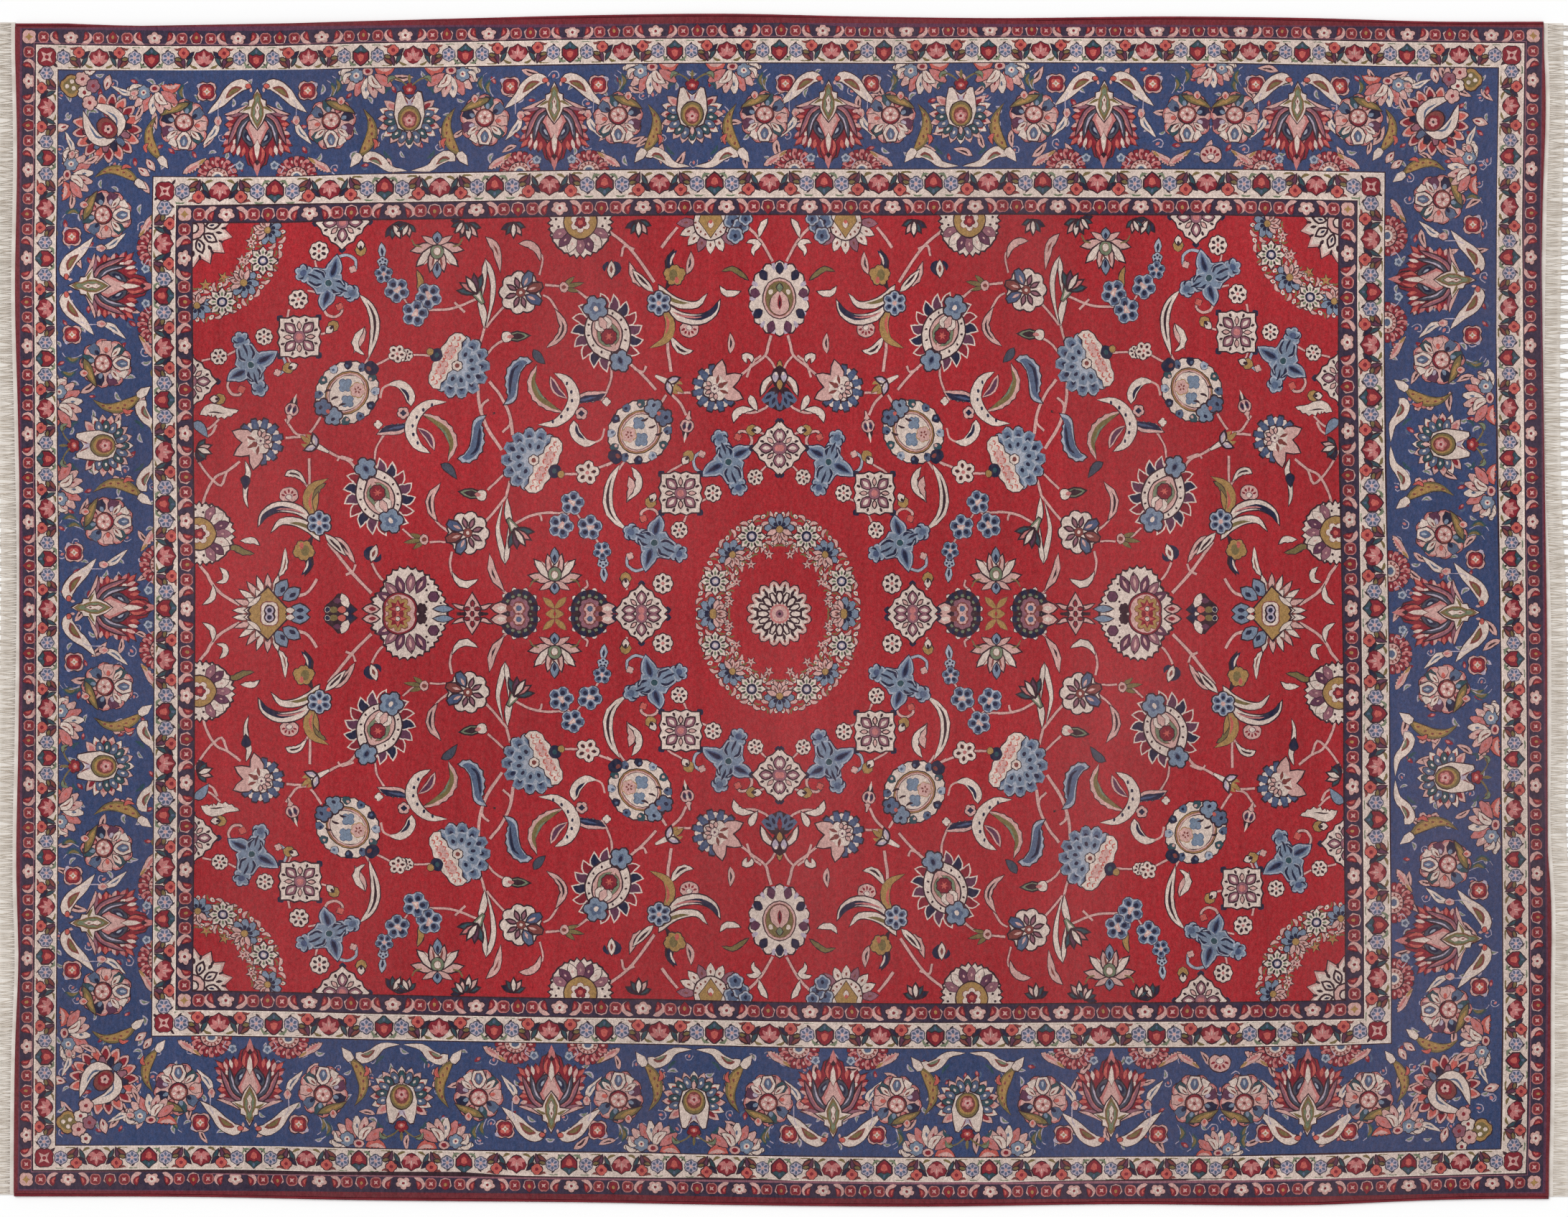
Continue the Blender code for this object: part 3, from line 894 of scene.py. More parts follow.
# motif, then its places: x, y, turn, size
FIELD_MOTIFS = (
    (navy_round, ((722, 847, -90, 1), (821, 848, 90, 1))),
    (gold_cross, ((772, 848, 0, 1),)),
    (point_flower, ((657, 848, 0, 0.95),)),
    (hung_palmette, ((809, 312, 180, 0.9), (277, 742, 90, 0.9))),
    (hung_blue, ((990, 310, 180, 0.9),)),
    (dark_sprig, ((549, 312, 150, 0.9), (569, 311, 205, 0.8), (652, 312, 175, 1), (645, 309, 215, 0.8),
                  (716, 312, 180, 0.9), (890, 312, 180, 0.95), (276, 622, 110, 0.9))),
    (sky_star, ((458, 390, 115, 1), (350, 503, 160, 1), (1015, 646, -20, 1), (912, 757, -65, 1))),
    (tile_medallion, ((478, 306, 0, 0.98), (267, 527, 0, 0.95), (1084, 626, 0, 0.95), (893, 850, 0, 0.95),
                      (418, 465, 45, 0.98), (948, 688, 45, 0.98))),
    (acorn, ((504, 344, 0, 1), (464, 452, 225, 1), (404, 508, 70, 1), (305, 552, -90, 1),
             (1049, 601, 90, 1), (958, 638, 215, 1), (907, 699, 25, 1), (871, 807, 180, 1))),
    (floret, ((446, 345, 0, 1.08), (417, 412, 20, 1.08), (369, 464, 0, 0.96), (306, 492, 20, 0.92),
              (993, 688, 0, 0.96), (946, 739, 20, 0.94), (923, 813, 0, 1.12), (1052, 666, 10, 0.88),
              (567, 493, 15, 0.72), (556, 493, 0, 0.85))),
    (star_flower, ((818, 659, 10, 1), (554, 491, 30, 0.75))),
    (drop_cluster, ((535, 368, -4, 1.05), (839, 779, 176, 1.05))),
    (blue_floret, ((554, 402, 40, 0.95), (598, 411, -30, 1), (579, 435, 15, 1), (797, 701, -60, 0.9),
                   (781, 733, 20, 0.95), (821, 735, 80, 0.95))),
    (lotus, ((610, 352, 180, 0.98), (772, 797, 0, 0.98))),
    (carnation, ((663, 405, -32, 1), (718, 740, 148, 1))),
    (half_daisy, ((726, 408, 72, 1), (651, 742, -108, 1))),
    (grass_bud, ((793, 400, 78, 0.9), (583, 752, -98, 0.9))),
    (spear_bud, ((716, 469, 88, 0.9), (661, 688, -80, 0.9))),
    (blue_palmette, ((640, 510, 118, 0.95), (741, 640, -62, 0.95))),
    (crossed_blades, ((574, 592, 180, 1), (798, 559, 0, 1))),
    (cloud_palmette, ((484, 545, -135, 1), (891, 603, 45, 1))),
    (star_palmette, ((362, 612, 62, 0.82), (997, 543, 242, 0.82))),
    (twin_drops, ((438, 617, -62, 0.85), (933, 536, 118, 0.85))),
    (tulip, ((407, 567, 17, 0.85), (957, 595, 190, 0.85))),
    (fan_flower, ((402, 691, 0, 0.95), (960, 458, 180, 0.95))),
    (leaf_palmette, ((528, 691, -25, 1.02), (846, 465, 155, 1.02))),
    (arabesque, ((440, 735, 180, 1), (922, 417, 0, 1))),
    (blue_leaf, ((663, 612, -155, 0.95), (716, 530, 25, 0.95))),
    (feather_leaf, ((310, 577, 3, 0.85),)),
    (curl_bud, ((519, 772, 18, 1), (852, 376, 180, 1))),
    (drop_bud, ((472, 849, 90, 0.95),)),
    (great_palmette, ((567, 848, 90, 1),)),
    (blue_lotus, ((374, 850, 90, 1.03),)),
    (cell_palmette, ((1086, 419, 0, 1),)),
    (iris, ((1086, 543, 0, 1),)),
    (corner_medallion, ((271, 311, 0, 1),)),
    (twin_flower, ((341, 388, 135, 0.95), (374, 314, 110, 0.9), (276, 420, 155, 0.9),
                   (1020, 773, -33, 0.9), (993, 853, -90, 0.95), (1086, 738, 0, 0.95))),
    (ring_daisy, ((368, 357, 0, 1), (311, 415, 0, 1), (1047, 748, 0, 1), (996, 810, 0, 1))),
    (little_star, ((351, 330, 0, 1), (339, 356, 0, 1), (1071, 773, 0, 0.9), (1046, 787, 0, 0.9),
                   (1026, 811, 0, 0.9), (1016, 838, 0, 0.9))),
    (little_gold, ((313, 380, 20, 1), (288, 391, 0, 1.1))),
    (small_leaf, ((1017, 481, 0, 0.9), (960, 370, 10, 1))),
    (middle_medallion, ((1086, 855, 0, 1),)),
)

# dye, width, share of the length where it is widest, teeth, the rib's dye, the leaf's spine
FIELD_LEAVES = (
    ("ivory", 13, 0.5, 0.12, "outline", ((502, 408), (516, 424), (523, 446), (521, 470), (514, 498))),
    ("ivory", 13, 0.5, 0.12, "outline", ((863, 648), (850, 672), (846, 700), (854, 722), (873, 739))),
    ("blush", 12, 0.45, 0.3, None, ((509, 454), (502, 470), (494, 489))),
    ("blush", 12, 0.45, 0.3, None, ((876, 665), (880, 682), (873, 700))),
    ("blush", 11, 0.45, 0.2, "rust", ((678, 330), (692, 347), (698, 379))),
    ("blush", 10, 0.4, 0.2, None, ((724, 340), (738, 341), (749, 350), (753, 364))),
    ("blush", 11, 0.45, 0.25, "outline", ((774, 432), (785, 455), (778, 472), (762, 485))),
    ("ivory", 7, 0.3, 0, None, ((677, 360), (687, 388), (686, 420), (678, 454))),
    ("ivory", 6, 0.3, 0, None, ((677, 362), (675, 390), (673, 412))),
    ("ivory", 9, 0.4, 0, None, ((668, 416), (674, 436), (675, 456))),
    ("ivory", 7, 0.3, 0, None, ((703, 786), (697, 760), (693, 735), (700, 700))),
    ("ivory", 6, 0.3, 0, None, ((703, 785), (707, 760), (708, 735))),
    ("ivory", 9, 0.4, 0, None, ((711, 733), (707, 715), (706, 694))),
    ("blush", 11, 0.45, 0.25, "outline", ((613, 673), (599, 692), (600, 712), (608, 725))),
    ("ivory", 10, 0.55, 0.2, None, ((629, 797), (637, 810), (650, 814), (664, 807))),
    ("blush", 11, 0.5, 0.15, "outline", ((681, 772), (686, 800), (701, 823))),
    ("gold", 8, 0.5, 0, None, ((582, 375), (587, 390), (583, 402))),
    ("slate", 11, 0.45, 0, None, ((744, 488), (750, 498), (759, 507))),
    ("slate", 11, 0.45, 0, None, ((615, 646), (625, 652), (636, 666))),
    ("gold", 9, 0.4, 0.2, None, ((689, 575), (684, 580), (681, 574), (695, 572), (701, 578))),
    ("ivory", 10, 0.45, 0.2, "outline", ((397, 660), (405, 657), (416, 660), (426, 672))),
    ("ivory", 11, 0.45, 0.2, "outline", ((934, 471), (944, 486), (954, 492), (965, 491))),
    ("olive", 12, 0.5, 0.25, None, ((429, 704), (436, 692), (441, 680), (453, 672))),
    ("gold", 9, 0.5, 0.1, None, ((431, 722), (437, 704), (443, 684))),
    ("blush", 12, 0.45, 0.25, "outline", ((457, 750), (470, 754), (482, 766), (493, 784))),
    ("blush", 12, 0.45, 0.25, "outline", ((877, 368), (884, 388), (893, 397), (906, 402))),
    ("ivory", 9, 0.45, 0.2, None, ((1069, 309), (1061, 320), (1057, 335))),
    ("ivory", 8, 0.5, 0.2, None, ((1040, 342), (1047, 340), (1056, 344), (1049, 352), (1050, 360))),
    ("ivory", 8, 0.45, 0.2, None, ((305, 790), (312, 798), (311, 808), (300, 811))),
    ("ivory", 8, 0.45, 0.2, None, ((295, 815), (294, 832), (281, 842))),
    ("ivory", 11, 0.45, 0.3, None, ((1022, 590), (1026, 578), (1036, 573), (1050, 573))),
    ("ivory", 10, 0.45, 0, None, ((1045, 553), (1048, 562), (1055, 574))),
    ("ivory", 9, 0.5, 0.2, None, ((1003, 402), (1010, 411), (1022, 412), (1031, 409))),
    ("ivory", 9, 0.5, 0.2, None, ((334, 752), (344, 752), (352, 752), (360, 758))),
    ("olive", 7, 0.5, 0.2, None, ((1006, 381), (1020, 378), (1033, 386), (1042, 393))),
    ("ivory", 9, 0.5, 0.3, "rust", ((385, 804), (393, 793), (396, 781), (396, 762))),
    ("olive", 9, 0.5, 0.2, None, ((314, 762), (326, 762), (338, 768), (352, 770))),
    ("ivory", 8, 0.45, 0.2, None, ((1040, 508), (1037, 499), (1046, 500), (1047, 507))),
    ("sky", 13, 0.4, 0, None, ((270, 585), (280, 592), (289, 606))),
    ("navy", 8, 0.5, 0, None, ((276, 640), (283, 632), (288, 622))),
    ("ivory", 7, 0.4, 0, None, ((342, 640), (346, 655), (343, 668), (341, 690), (345, 705))),
    ("navy", 12, 0.4, 0, None, ((341, 660), (342, 668), (341, 678))),
    ("gold", 7, 0.5, 0, None, ((1086, 505), (1086, 512), (1086, 520))),
    ("ivory", 10, 0.4, 0.35, None, ((880, 652), (889, 668), (887, 684), (873, 698))),
    ("ivory", 9, 0.4, 0.35, None, ((508, 454), (496, 470), (498, 484), (508, 492))),
)

# width, then the vine's route
FIELD_VINES = (
    (3.2, ((514, 496), (509, 506), (503, 514))),
    (3.2, ((513, 514), (526, 506), (543, 497))),
    (3.0, ((573, 493), (585, 493), (600, 494))),
    (3.6, ((598, 430), (620, 430), (640, 426), (664, 416))),
    (3.4, ((634, 420), (640, 426), (648, 434))),
    (3.6, ((676, 454), (674, 462), (668, 482))),
    (3.6, ((678, 456), (690, 441), (706, 424))),
    (3.4, ((760, 398), (770, 399), (782, 400))),
    (3.4, ((796, 404), (808, 409), (820, 419))),
    (3.0, ((751, 352), (757, 362), (752, 384))),
    (3.0, ((757, 412), (767, 418), (777, 434))),
    (3.4, ((680, 492), (690, 481), (704, 473))),
    (4.4, ((666, 532), (668, 562), (678, 594), (699, 627))),
    (4.4, ((682, 531), (698, 552), (710, 578), (714, 606))),
    (3.6, ((711, 580), (710, 592), (700, 602))),
    (3.6, ((671, 576), (672, 564), (681, 556))),
    (3.4, ((679, 682), (690, 672), (706, 657))),
    (3.8, ((710, 670), (707, 682), (705, 694))),
    (3.6, ((706, 690), (692, 708), (674, 728))),
    (3.6, ((717, 730), (732, 721), (748, 716), (770, 714))),
    (3.0, ((745, 716), (752, 718), (754, 726))),
    (3.4, ((780, 661), (794, 661), (804, 661))),
    (3.0, ((768, 715), (784, 714), (797, 705))),
    (2.6, ((798, 703), (806, 720), (818, 734))),
    (2.6, ((796, 712), (786, 722), (782, 732))),
    (2.6, ((822, 742), (830, 752), (838, 766))),
    (2.6, ((578, 432), (568, 420), (556, 404))),
    (2.6, ((596, 414), (588, 424), (580, 434))),
    (2.6, ((552, 400), (545, 392), (538, 384))),
    (3.4, ((832, 653), (845, 648), (862, 641))),
    (3.4, ((602, 714), (609, 728), (624, 740))),
    (3.4, ((629, 768), (626, 784), (629, 800), (637, 810))),
    (3.0, ((598, 755), (610, 754), (620, 755))),
    (3.0, ((560, 736), (570, 745), (580, 751))),
    (3.4, ((698, 820), (704, 826), (712, 830))),
    (3.2, ((810, 822), (818, 816), (816, 808))),
    (4.4, ((276, 786), (287, 800), (293, 812), (308, 828), (332, 842))),
    (4.4, ((414, 830), (428, 824), (440, 806))),
    (4.6, ((456, 755), (474, 778), (492, 801), (516, 826))),
    (3.6, ((480, 800), (490, 796), (494, 786))),
    (3.4, ((517, 784), (523, 797), (532, 808))),
    (4.4, ((850, 326), (866, 338), (884, 356), (912, 396))),
    (3.6, ((866, 360), (870, 346), (884, 350))),
    (4.4, ((944, 320), (932, 334), (922, 348))),
    (4.0, ((1030, 310), (1046, 324), (1060, 340), (1076, 368))),
    (4.4, ((933, 462), (930, 480), (932, 500), (935, 520))),
    (4.0, ((1074, 470), (1070, 484), (1066, 498), (1048, 512), (1028, 528))),
    (3.4, ((1066, 498), (1074, 506), (1080, 516))),
    (3.6, ((1060, 498), (1048, 508), (1040, 528))),
    (3.6, ((1075, 562), (1062, 573), (1045, 577), (1030, 573))),
    (4.2, ((868, 500), (882, 512), (898, 527), (914, 545))),
    (3.4, ((884, 516), (896, 520), (900, 512))),
    (3.8, ((928, 552), (923, 560), (918, 568))),
    (3.8, ((936, 552), (948, 564), (956, 580))),
    (3.4, ((944, 549), (954, 549), (962, 549))),
    (3.2, ((845, 650), (852, 645), (860, 641))),
    (3.4, ((862, 655), (868, 646), (874, 640))),
    (3.2, ((838, 560), (846, 545), (852, 525), (850, 505))),
    (3.2, ((538, 600), (530, 612), (524, 624), (522, 640))),
    (3.8, ((431, 636), (431, 660), (431, 690))),
    (3.4, ((431, 684), (427, 674), (418, 664))),
    (3.8, ((450, 622), (470, 634), (488, 642), (499, 660))),
    (3.4, ((470, 640), (476, 634), (492, 640))),
    (3.6, ((398, 580), (404, 590), (414, 602), (426, 604))),
    (3.6, ((398, 607), (410, 606), (422, 606))),
    (3.6, ((432, 600), (440, 590), (447, 578))),
    (3.6, ((334, 640), (316, 654), (300, 662), (288, 682), (282, 700))),
    (3.6, ((270, 628), (280, 645), (292, 662), (308, 674), (316, 655), (330, 645))),
    (3.2, ((285, 597), (296, 590), (306, 580))),
    (3.2, ((288, 606), (296, 600), (302, 588))),
    (3.2, ((404, 426), (402, 436), (404, 442))),
    (3.2, ((463, 400), (452, 404), (430, 400))),
    (3.0, ((440, 358), (442, 366), (444, 372))),
    (3.0, ((448, 462), (456, 460), (462, 454))),
    (3.0, ((282, 498), (290, 496), (298, 494))),
    (3.0, ((318, 490), (326, 486), (332, 482))),
    (3.0, ((398, 486), (404, 498), (408, 506))),
    (3.0, ((1008, 796), (1018, 800), (1024, 812))),
    (3.0, ((1060, 760), (1066, 768), (1072, 776))),
    (3.0, ((935, 668), (930, 660), (950, 648))),
    (3.0, ((970, 700), (980, 698), (988, 692))),
    (3.0, ((957, 716), (954, 724), (950, 732))),
    (3.0, ((872, 806), (872, 814), (873, 822))),
    (3.0, ((910, 826), (904, 832), (900, 838))),
    (3.0, ((1064, 606), (1056, 604), (1050, 602))),
    (3.0, ((1060, 658), (1066, 652), (1072, 648))),
)

# The two garlands: middle, reach across and along, and the turns of a quarter they fill.
GARLANDS = ((1086, 855, 93, 117, 270, 360), (271, 311, 104, 108, 90, 180))


def garland_places():
    """Small leaves along both sides of each garland: motif, x, y, turn."""
    for x, y, across, along, first, last in GARLANDS:
        for step in range(19):
            turn = first + (last - first) * (step + 0.5) / 19
            t = math.radians(turn)
            for k, out in enumerate((-19, -7, 8, 20)):
                kind = (garland_slip, garland_petal)[(step + k) % 2]
                lean = turn + 60 * ((step + k) % 3)
                yield kind, x + (across + out) * math.sin(t), y - (along + out) * math.cos(t), lean


# The main border's motifs, their tops to the outer edge.


def lyre(p):
    """A lyre-shaped palmette, its spire to the outer edge and flames sweeping out along its wings."""
    wing = [
        (0, 14), (16, 20), (30, 16), (46, 12), (38, 4), (46, -3), (39, -10), (47, -20), (42, -25),
        (50, -34), (42, -36), (49, -45), (38, -41), (34, -48), (28, -41), (23, -50), (18, -44),
        (13, -60), (0, -66),
    ]
    p.area("ruby", mirrored(wing), 1.2)
    for x, y, lean, length, dye in (
        (37, 5, 76, 11, "blush"), (37, -3, 92, 12, "coral"), (38, -14, 112, 13, "blush"),
        (37, -10, 70, 8, "rose"), (40, -25, 128, 14, "rose"), (40, -35, 138, 14, "coral"),
        (33, -33, 160, 15, "blush"), (26, -36, 168, 15, "ivory"), (19, -38, 172, 14, "coral"),
        (31, -26, 146, 9, "ivory"),
    ):
        p.both(dye, set_out(drop(length, 5.6), lean, -3, x, y))
    p.both("blush", blade([(9, 26), (20, 19), (34, 14), (47, 11)], 6, 0.4), 0.9)
    p.both("mauve", blade([(8, 21), (20, 14), (32, 10), (42, 9)], 4.4, 0.4), 0.8)
    p.both("mauve", blade([(8, 14), (22, 6), (32, -10), (41, -31)], 7, 0.5), 2)
    p.both("rose", blade([(12, 11), (23, 3), (31, -12), (38, -27)], 2.4, 0.5))
    p.both("slate", blade([(8, 8), (19, -1), (26, -16), (29, -34)], 7, 0.45), 2)
    p.both("lilac", blade([(13, 3), (21, -6), (25, -17), (27, -28)], 2.4, 0.45))
    p.area("rose", mirrored([(0, 10), (13, 0), (19, -12), (18, -25), (10, -37), (0, -44)]), 1.8)
    p.area("blush", mirrored([(0, 6), (10, -1), (12, -8), (7, -19), (4, -30), (0, -34)]))
    p.both("slate", blade([(18, -9), (17, -19), (11, -29), (6, -35)], 8.6, 0.42), 1.7)
    p.both("navy", blade([(16.4, -13), (14.6, -22), (9, -30)], 6.6, 0.45))
    p.both("mist", blade([(14.6, -18), (12.6, -22.6), (9.6, -27)], 3.2, 0.45))
    p.area("ruby", mirrored([(0, -30), (7, -36), (11, -46), (10, -57), (4, -66), (0, -70)]), 1.8)
    p.both("coral", blade([(7, -36), (9, -46), (5, -58)], 4.4))
    p.area("rose", mirrored([(0, -56), (5, -60), (4, -68), (0, -78)]))
    p.area("outline", mirrored([(0, -53), (4, -57), (0, -63)]))
    p.area("ivory", mirrored([(0, -25), (4, -34), (2.6, -46), (0, -54)]), 0.8, "rust")
    p.both("mist", lobes(5, 6.4, 0.24) + (25, -62), 0.9, "slate")
    p.both("steel", lobes(4, 3.4, 0.3) + (25, -62))
    p.both("lilac", ribbon([(31, -60), (38, -66), (34, -73)], 1.3))
    spire = [(0, 48), (4, 40), (6, 33), (12, 31), (12, 24), (26, 14.6), (12, 12.6), (10.6, 7), (7, -1)]
    p.area("ivory", mirrored(spire + [(0, -10)]), 1.6)
    p.both("olive", blade([(8, 22), (14, 20), (22, 15)], 4, 0.4))
    heart = [(0, 44), (4.6, 38), (4, 31), (8, 22), (8.6, 10), (5, 1), (0, -8)]
    p.area("olive", mirrored(heart), 0.7, "rust")
    p.area("sage", mirrored([(0, 39), (3, 34), (2.6, 29), (6, 20), (6.2, 11), (3, 3), (0, -2)]))
    p.area("ivory", mirrored([(0, 28), (3, 21), (1.6, 15), (3.4, 9), (0, 3)]), 0.9, "rust")
    p.area("rust", mirrored([(0, 24), (1.3, 21), (0, 18)]))


def rosette(p):
    """A round palmette of unlike cells, a gold crescent leaning over its outer side."""
    p.area("rose", lobes(9, 37.2, 0.17, squash=1.06), 1.3)
    p.area("blush", lobes(9, 34.2, 0.18, squash=1.06))
    cells = ("teal", "steel", "blush", "teal", "mauve", "ivory", "plum", "navy", "ruby")
    hearts = ("sky", "navy", "coral", "mist", "blush", "rose", "lilac", "sky", "rose")
    petals = around(9, 16, drop(18, 14.5, 0.85), start=12)
    drops = around(9, 20.5, oval(3, 4.4, 7), start=12)
    for cell, heart, shape, inner in zip(cells, hearts, petals, drops):
        p.area(cell, shape * (1, 1.06), 0.9)
        p.area(heart, inner * (1, 1.06))
    p.area("ivory", turned(drop(27, 22, 0.6), 184, 1, -8.6), 1.5)
    p.area("steel", turned(drop(17, 12, 0.4), 184, 0.6, -15), 0.9, "rust")
    p.area("mist", turned(drop(9, 4, 0.3), 184, 0, -21))
    for lean in (132, 232):
        p.area("ivory", set_out(drop(19, 9, 0.3), lean, 13), 0.9)
        p.area("rust", set_out(drop(11, 2.6), lean, 15))
    p.area("rust", oval(13.6, 13, 14, 0, 4), 1.4)
    p.area("ruby", blade([(-12, -1), (0, -7), (12, -1)], 4), 1.5)
    p.area("blush", oval(11, 10.4, 12, 0, 5))
    p.many("ivory", around(5, 3.4, drop(6, 5, 0.5), y=5), 0.8, "rose")
    p.area("rust", oval(2.6, count=6, y=5))
    p.area("olive", blade([(-35, 14.5), (-22, 22), (-6, 27.6), (7, 33)], 11, 0.55), 1.5)
    p.area("gold", blade([(-28, 18.5), (-16, 24), (-2, 30)], 6, 0.55))
    p.area("blush", drop(12, 11, 0.3) + (-15, 27), 1)
    p.area("coral", drop(7, 5) + (-15, 28.6))


def lily(p):
    """A white tulip rising from a round brown calyx, with a skirt of pointed petals."""
    for k, leaf in enumerate(around(15, 17, drop(27, 13), start=52, span=256)):
        leaf = leaf * (1, 0.94) + (0, 2)
        p.area(("blush", "ivory", "blush")[k % 3], leaf, 0.9)
        p.area(("ruby", "coral", "rose")[k % 3], shrunk(leaf, 0.55))
    for k, leaf in enumerate(around(11, 17, drop(18, 11.4, 0.3), start=76, span=208)):
        p.area(("steel", "teal")[k % 2], leaf + (0, 2), 1.1)
        p.area("ivory", shrunk(leaf, 0.3) + (0, 2))
    cup = [(0, 29), (6, 33), (12, 40), (16.4, 39), (19.4, 25), (21, 8), (15.4, -10.6), (0, -17)]
    p.area("ivory", mirrored(cup), 1.6)
    p.area("lilac", mirrored([(0, 27), (5, 31), (8, 38), (4, 22), (0, 21)]))
    p.area("olive", oval(15.2, 17.2, 16, 0, 3), 1.4)
    p.area("gold", oval(12.6, 14.4, 16, 0, 2))
    p.area("rust", oval(10.4, 12, 14, 0, 1))
    p.area("rose", lobes(5, 8.6, 0.3))
    p.area("blush", lobes(5, 5.4, 0.3))
    p.area("ruby", oval(2.2, count=6))
    p.both("rust", blade([(2, 22), (5, 29), (9, 36)], 1.8))
    p.area("blush", petal(12, 6, 180, 0, -14), 0.8)
    p.area("ruby", lobes(5, 9.4, 0.22, squash=0.9) + (0, 44), 1.1)
    p.area("coral", oval(5, 3.4, 7, 0, 43))
    p.area("blush", oval(2, count=5, y=43))
    p.both("olive", ribbon([(4, 49), (11, 55), (20, 59), (26, 55)], 2.2))
    p.both("sage", blade([(19, 60), (27, 60), (30, 52)], 4.6), 0.7)
    p.both("teal", blade([(24, 46), (31, 44), (34, 36)], 4.6))
    p.area("olive", drop(14, 4.6) + (0, 51))


def bird_leaf(p):
    """A white leaf with a hooked head and a brown heart, arched over a lyre's right shoulder."""
    spine = [(9, 50), (22, 54), (38, 45), (52, 29), (71, 13)]
    p.area("ivory", blade(spine, 18, 0.42), 1.2)
    p.area("coral", oval(4.4, 3.4, 7, 13, 52), 0.8)
    p.area("blush", drop(7, 4) * (1, -1) + (9, 50))
    p.area("rust", blade([(21, 50), (34, 46), (46, 34)], 10, 0.5))
    p.area("olive", blade([(25, 48), (34, 45), (42, 38)], 5.6, 0.5))
    p.area("lilac", ribbon([(52, 32), (56, 22), (56, 4)], 1.2))


def comma_leaf(p):
    """A white curled leaf along the inner edge, at a lily's lower right."""
    spine = [(64, -61), (54, -54), (40, -60), (27, -71), (3, -74)]
    p.area("ivory", blade(spine, 15, 0.34), 1)
    p.area("rust", blade([(57, -58), (48, -58), (37, -66)], 7.4, 0.5))
    p.area("sage", blade([(54, -58.6), (47, -60), (40, -64)], 3.6, 0.5))
    p.area("teal", blade([(24, -58), (32, -52), (36, -44)], 4.6))


def gold_horn(p):
    """A long gold crescent with a white tip at its lower end."""
    spine = [(-1, 30), (9, 14), (11, -4), (4, -22), (-8, -38)]
    p.area("olive", blade(spine, 15, 0.6), 0.8)
    p.area("gold", blade([(3, 22), (10, 10), (10, -5), (3, -22), (-5, -32)], 11, 0.62))
    tip = mirrored([(0, 15), (6, 3), (5, -6), (0, -8)])
    p.area("ivory", tip @ np.array([[-0.8, 0.6], [-0.6, -0.8]]) + (-10, -39), 1)
    for x, y in ((11, 6), (11, -5), (7, -15), (1, -25), (8, 15)):
        p.area("rust", oval(1.5, 2.6, 5, x, y))
    p.area("coral", blade([(12, -12), (17, -18), (14, -27)], 5.4), 0.8)


def horn_scallop(p):
    """Small pink flowers between a horn and a lily."""
    for x, y, r, dye in ((1, 8, 6, "blush"), (4, -2, 6.4, "rose"), (0, -11, 5.6, "blush")):
        p.area(dye, lobes(5, r, 0.18) + (x, y), 1)
        p.area("ruby", oval(2.2, count=6, x=x, y=y))


def square_flower(p):
    """A square red flower between pale corner petals."""
    p.area("blush", lobes(4, 15.8, 0.26, start=45), 1.2)
    p.area("lilac", oval(5, 4, 7, 10, 8))
    p.area("ruby", lobes(4, 11.8, 0.14, start=45), 1)
    p.area("coral", lobes(4, 8, 0.3, start=45))
    p.area("ivory", star(4, 5.6, 2.8))
    p.area("gold", oval(1.8, count=5))


def s_leaf(p):
    """A narrow white leaf under a pink bud, its tip to the lower left."""
    spine = [(7, 8), (3, -4), (-4, -12), (-15, -25)]
    p.area("ivory", blade(spine, 10, 0.4), 0.9)
    p.area("steel", blade([(4, 0), (0, -8), (-7, -15)], 2.6))
    p.area("blush", drop(14, 11, 0.5) + (7, 3), 0.9)
    p.area("rose", drop(8, 5) + (7, 5))


def half_fan(p):
    """A red fan flower cut by the inner edge, its petals to the outer edge."""
    for k, leaf in enumerate(around(11, 13, drop(15, 9, 0.6), start=-88, span=176)):
        p.area(("ruby", "rose")[k % 2], leaf, 0.8)
        p.area(("blush", "ruby")[k % 2], shrunk(leaf, 0.36))
    p.area("blush", oval(14.6, 12.8, 14), 1.3)
    p.many("rust", around(7, 10.8, oval(1.5, 2.2, 5), start=-84, span=168))
    p.area("ivory", oval(8.6, 7.6, 12), 0.9, "rust")
    p.area("steel", oval(5.4, 4.6, 10))


def fan_leaf(p):
    """A pink jagged leaf with a gold tip beside a fan flower."""
    p.area("blush", blade([(-16, -10), (-6, -4), (4, 2), (18, 13)], 12, 0.45, 5, 0.5), 0.9)
    p.area("rose", blade([(-11, -8), (-3, -3), (6, 3)], 4))
    p.area("gold", blade([(6, 3), (12, 8), (17, 12)], 4, 0.5))


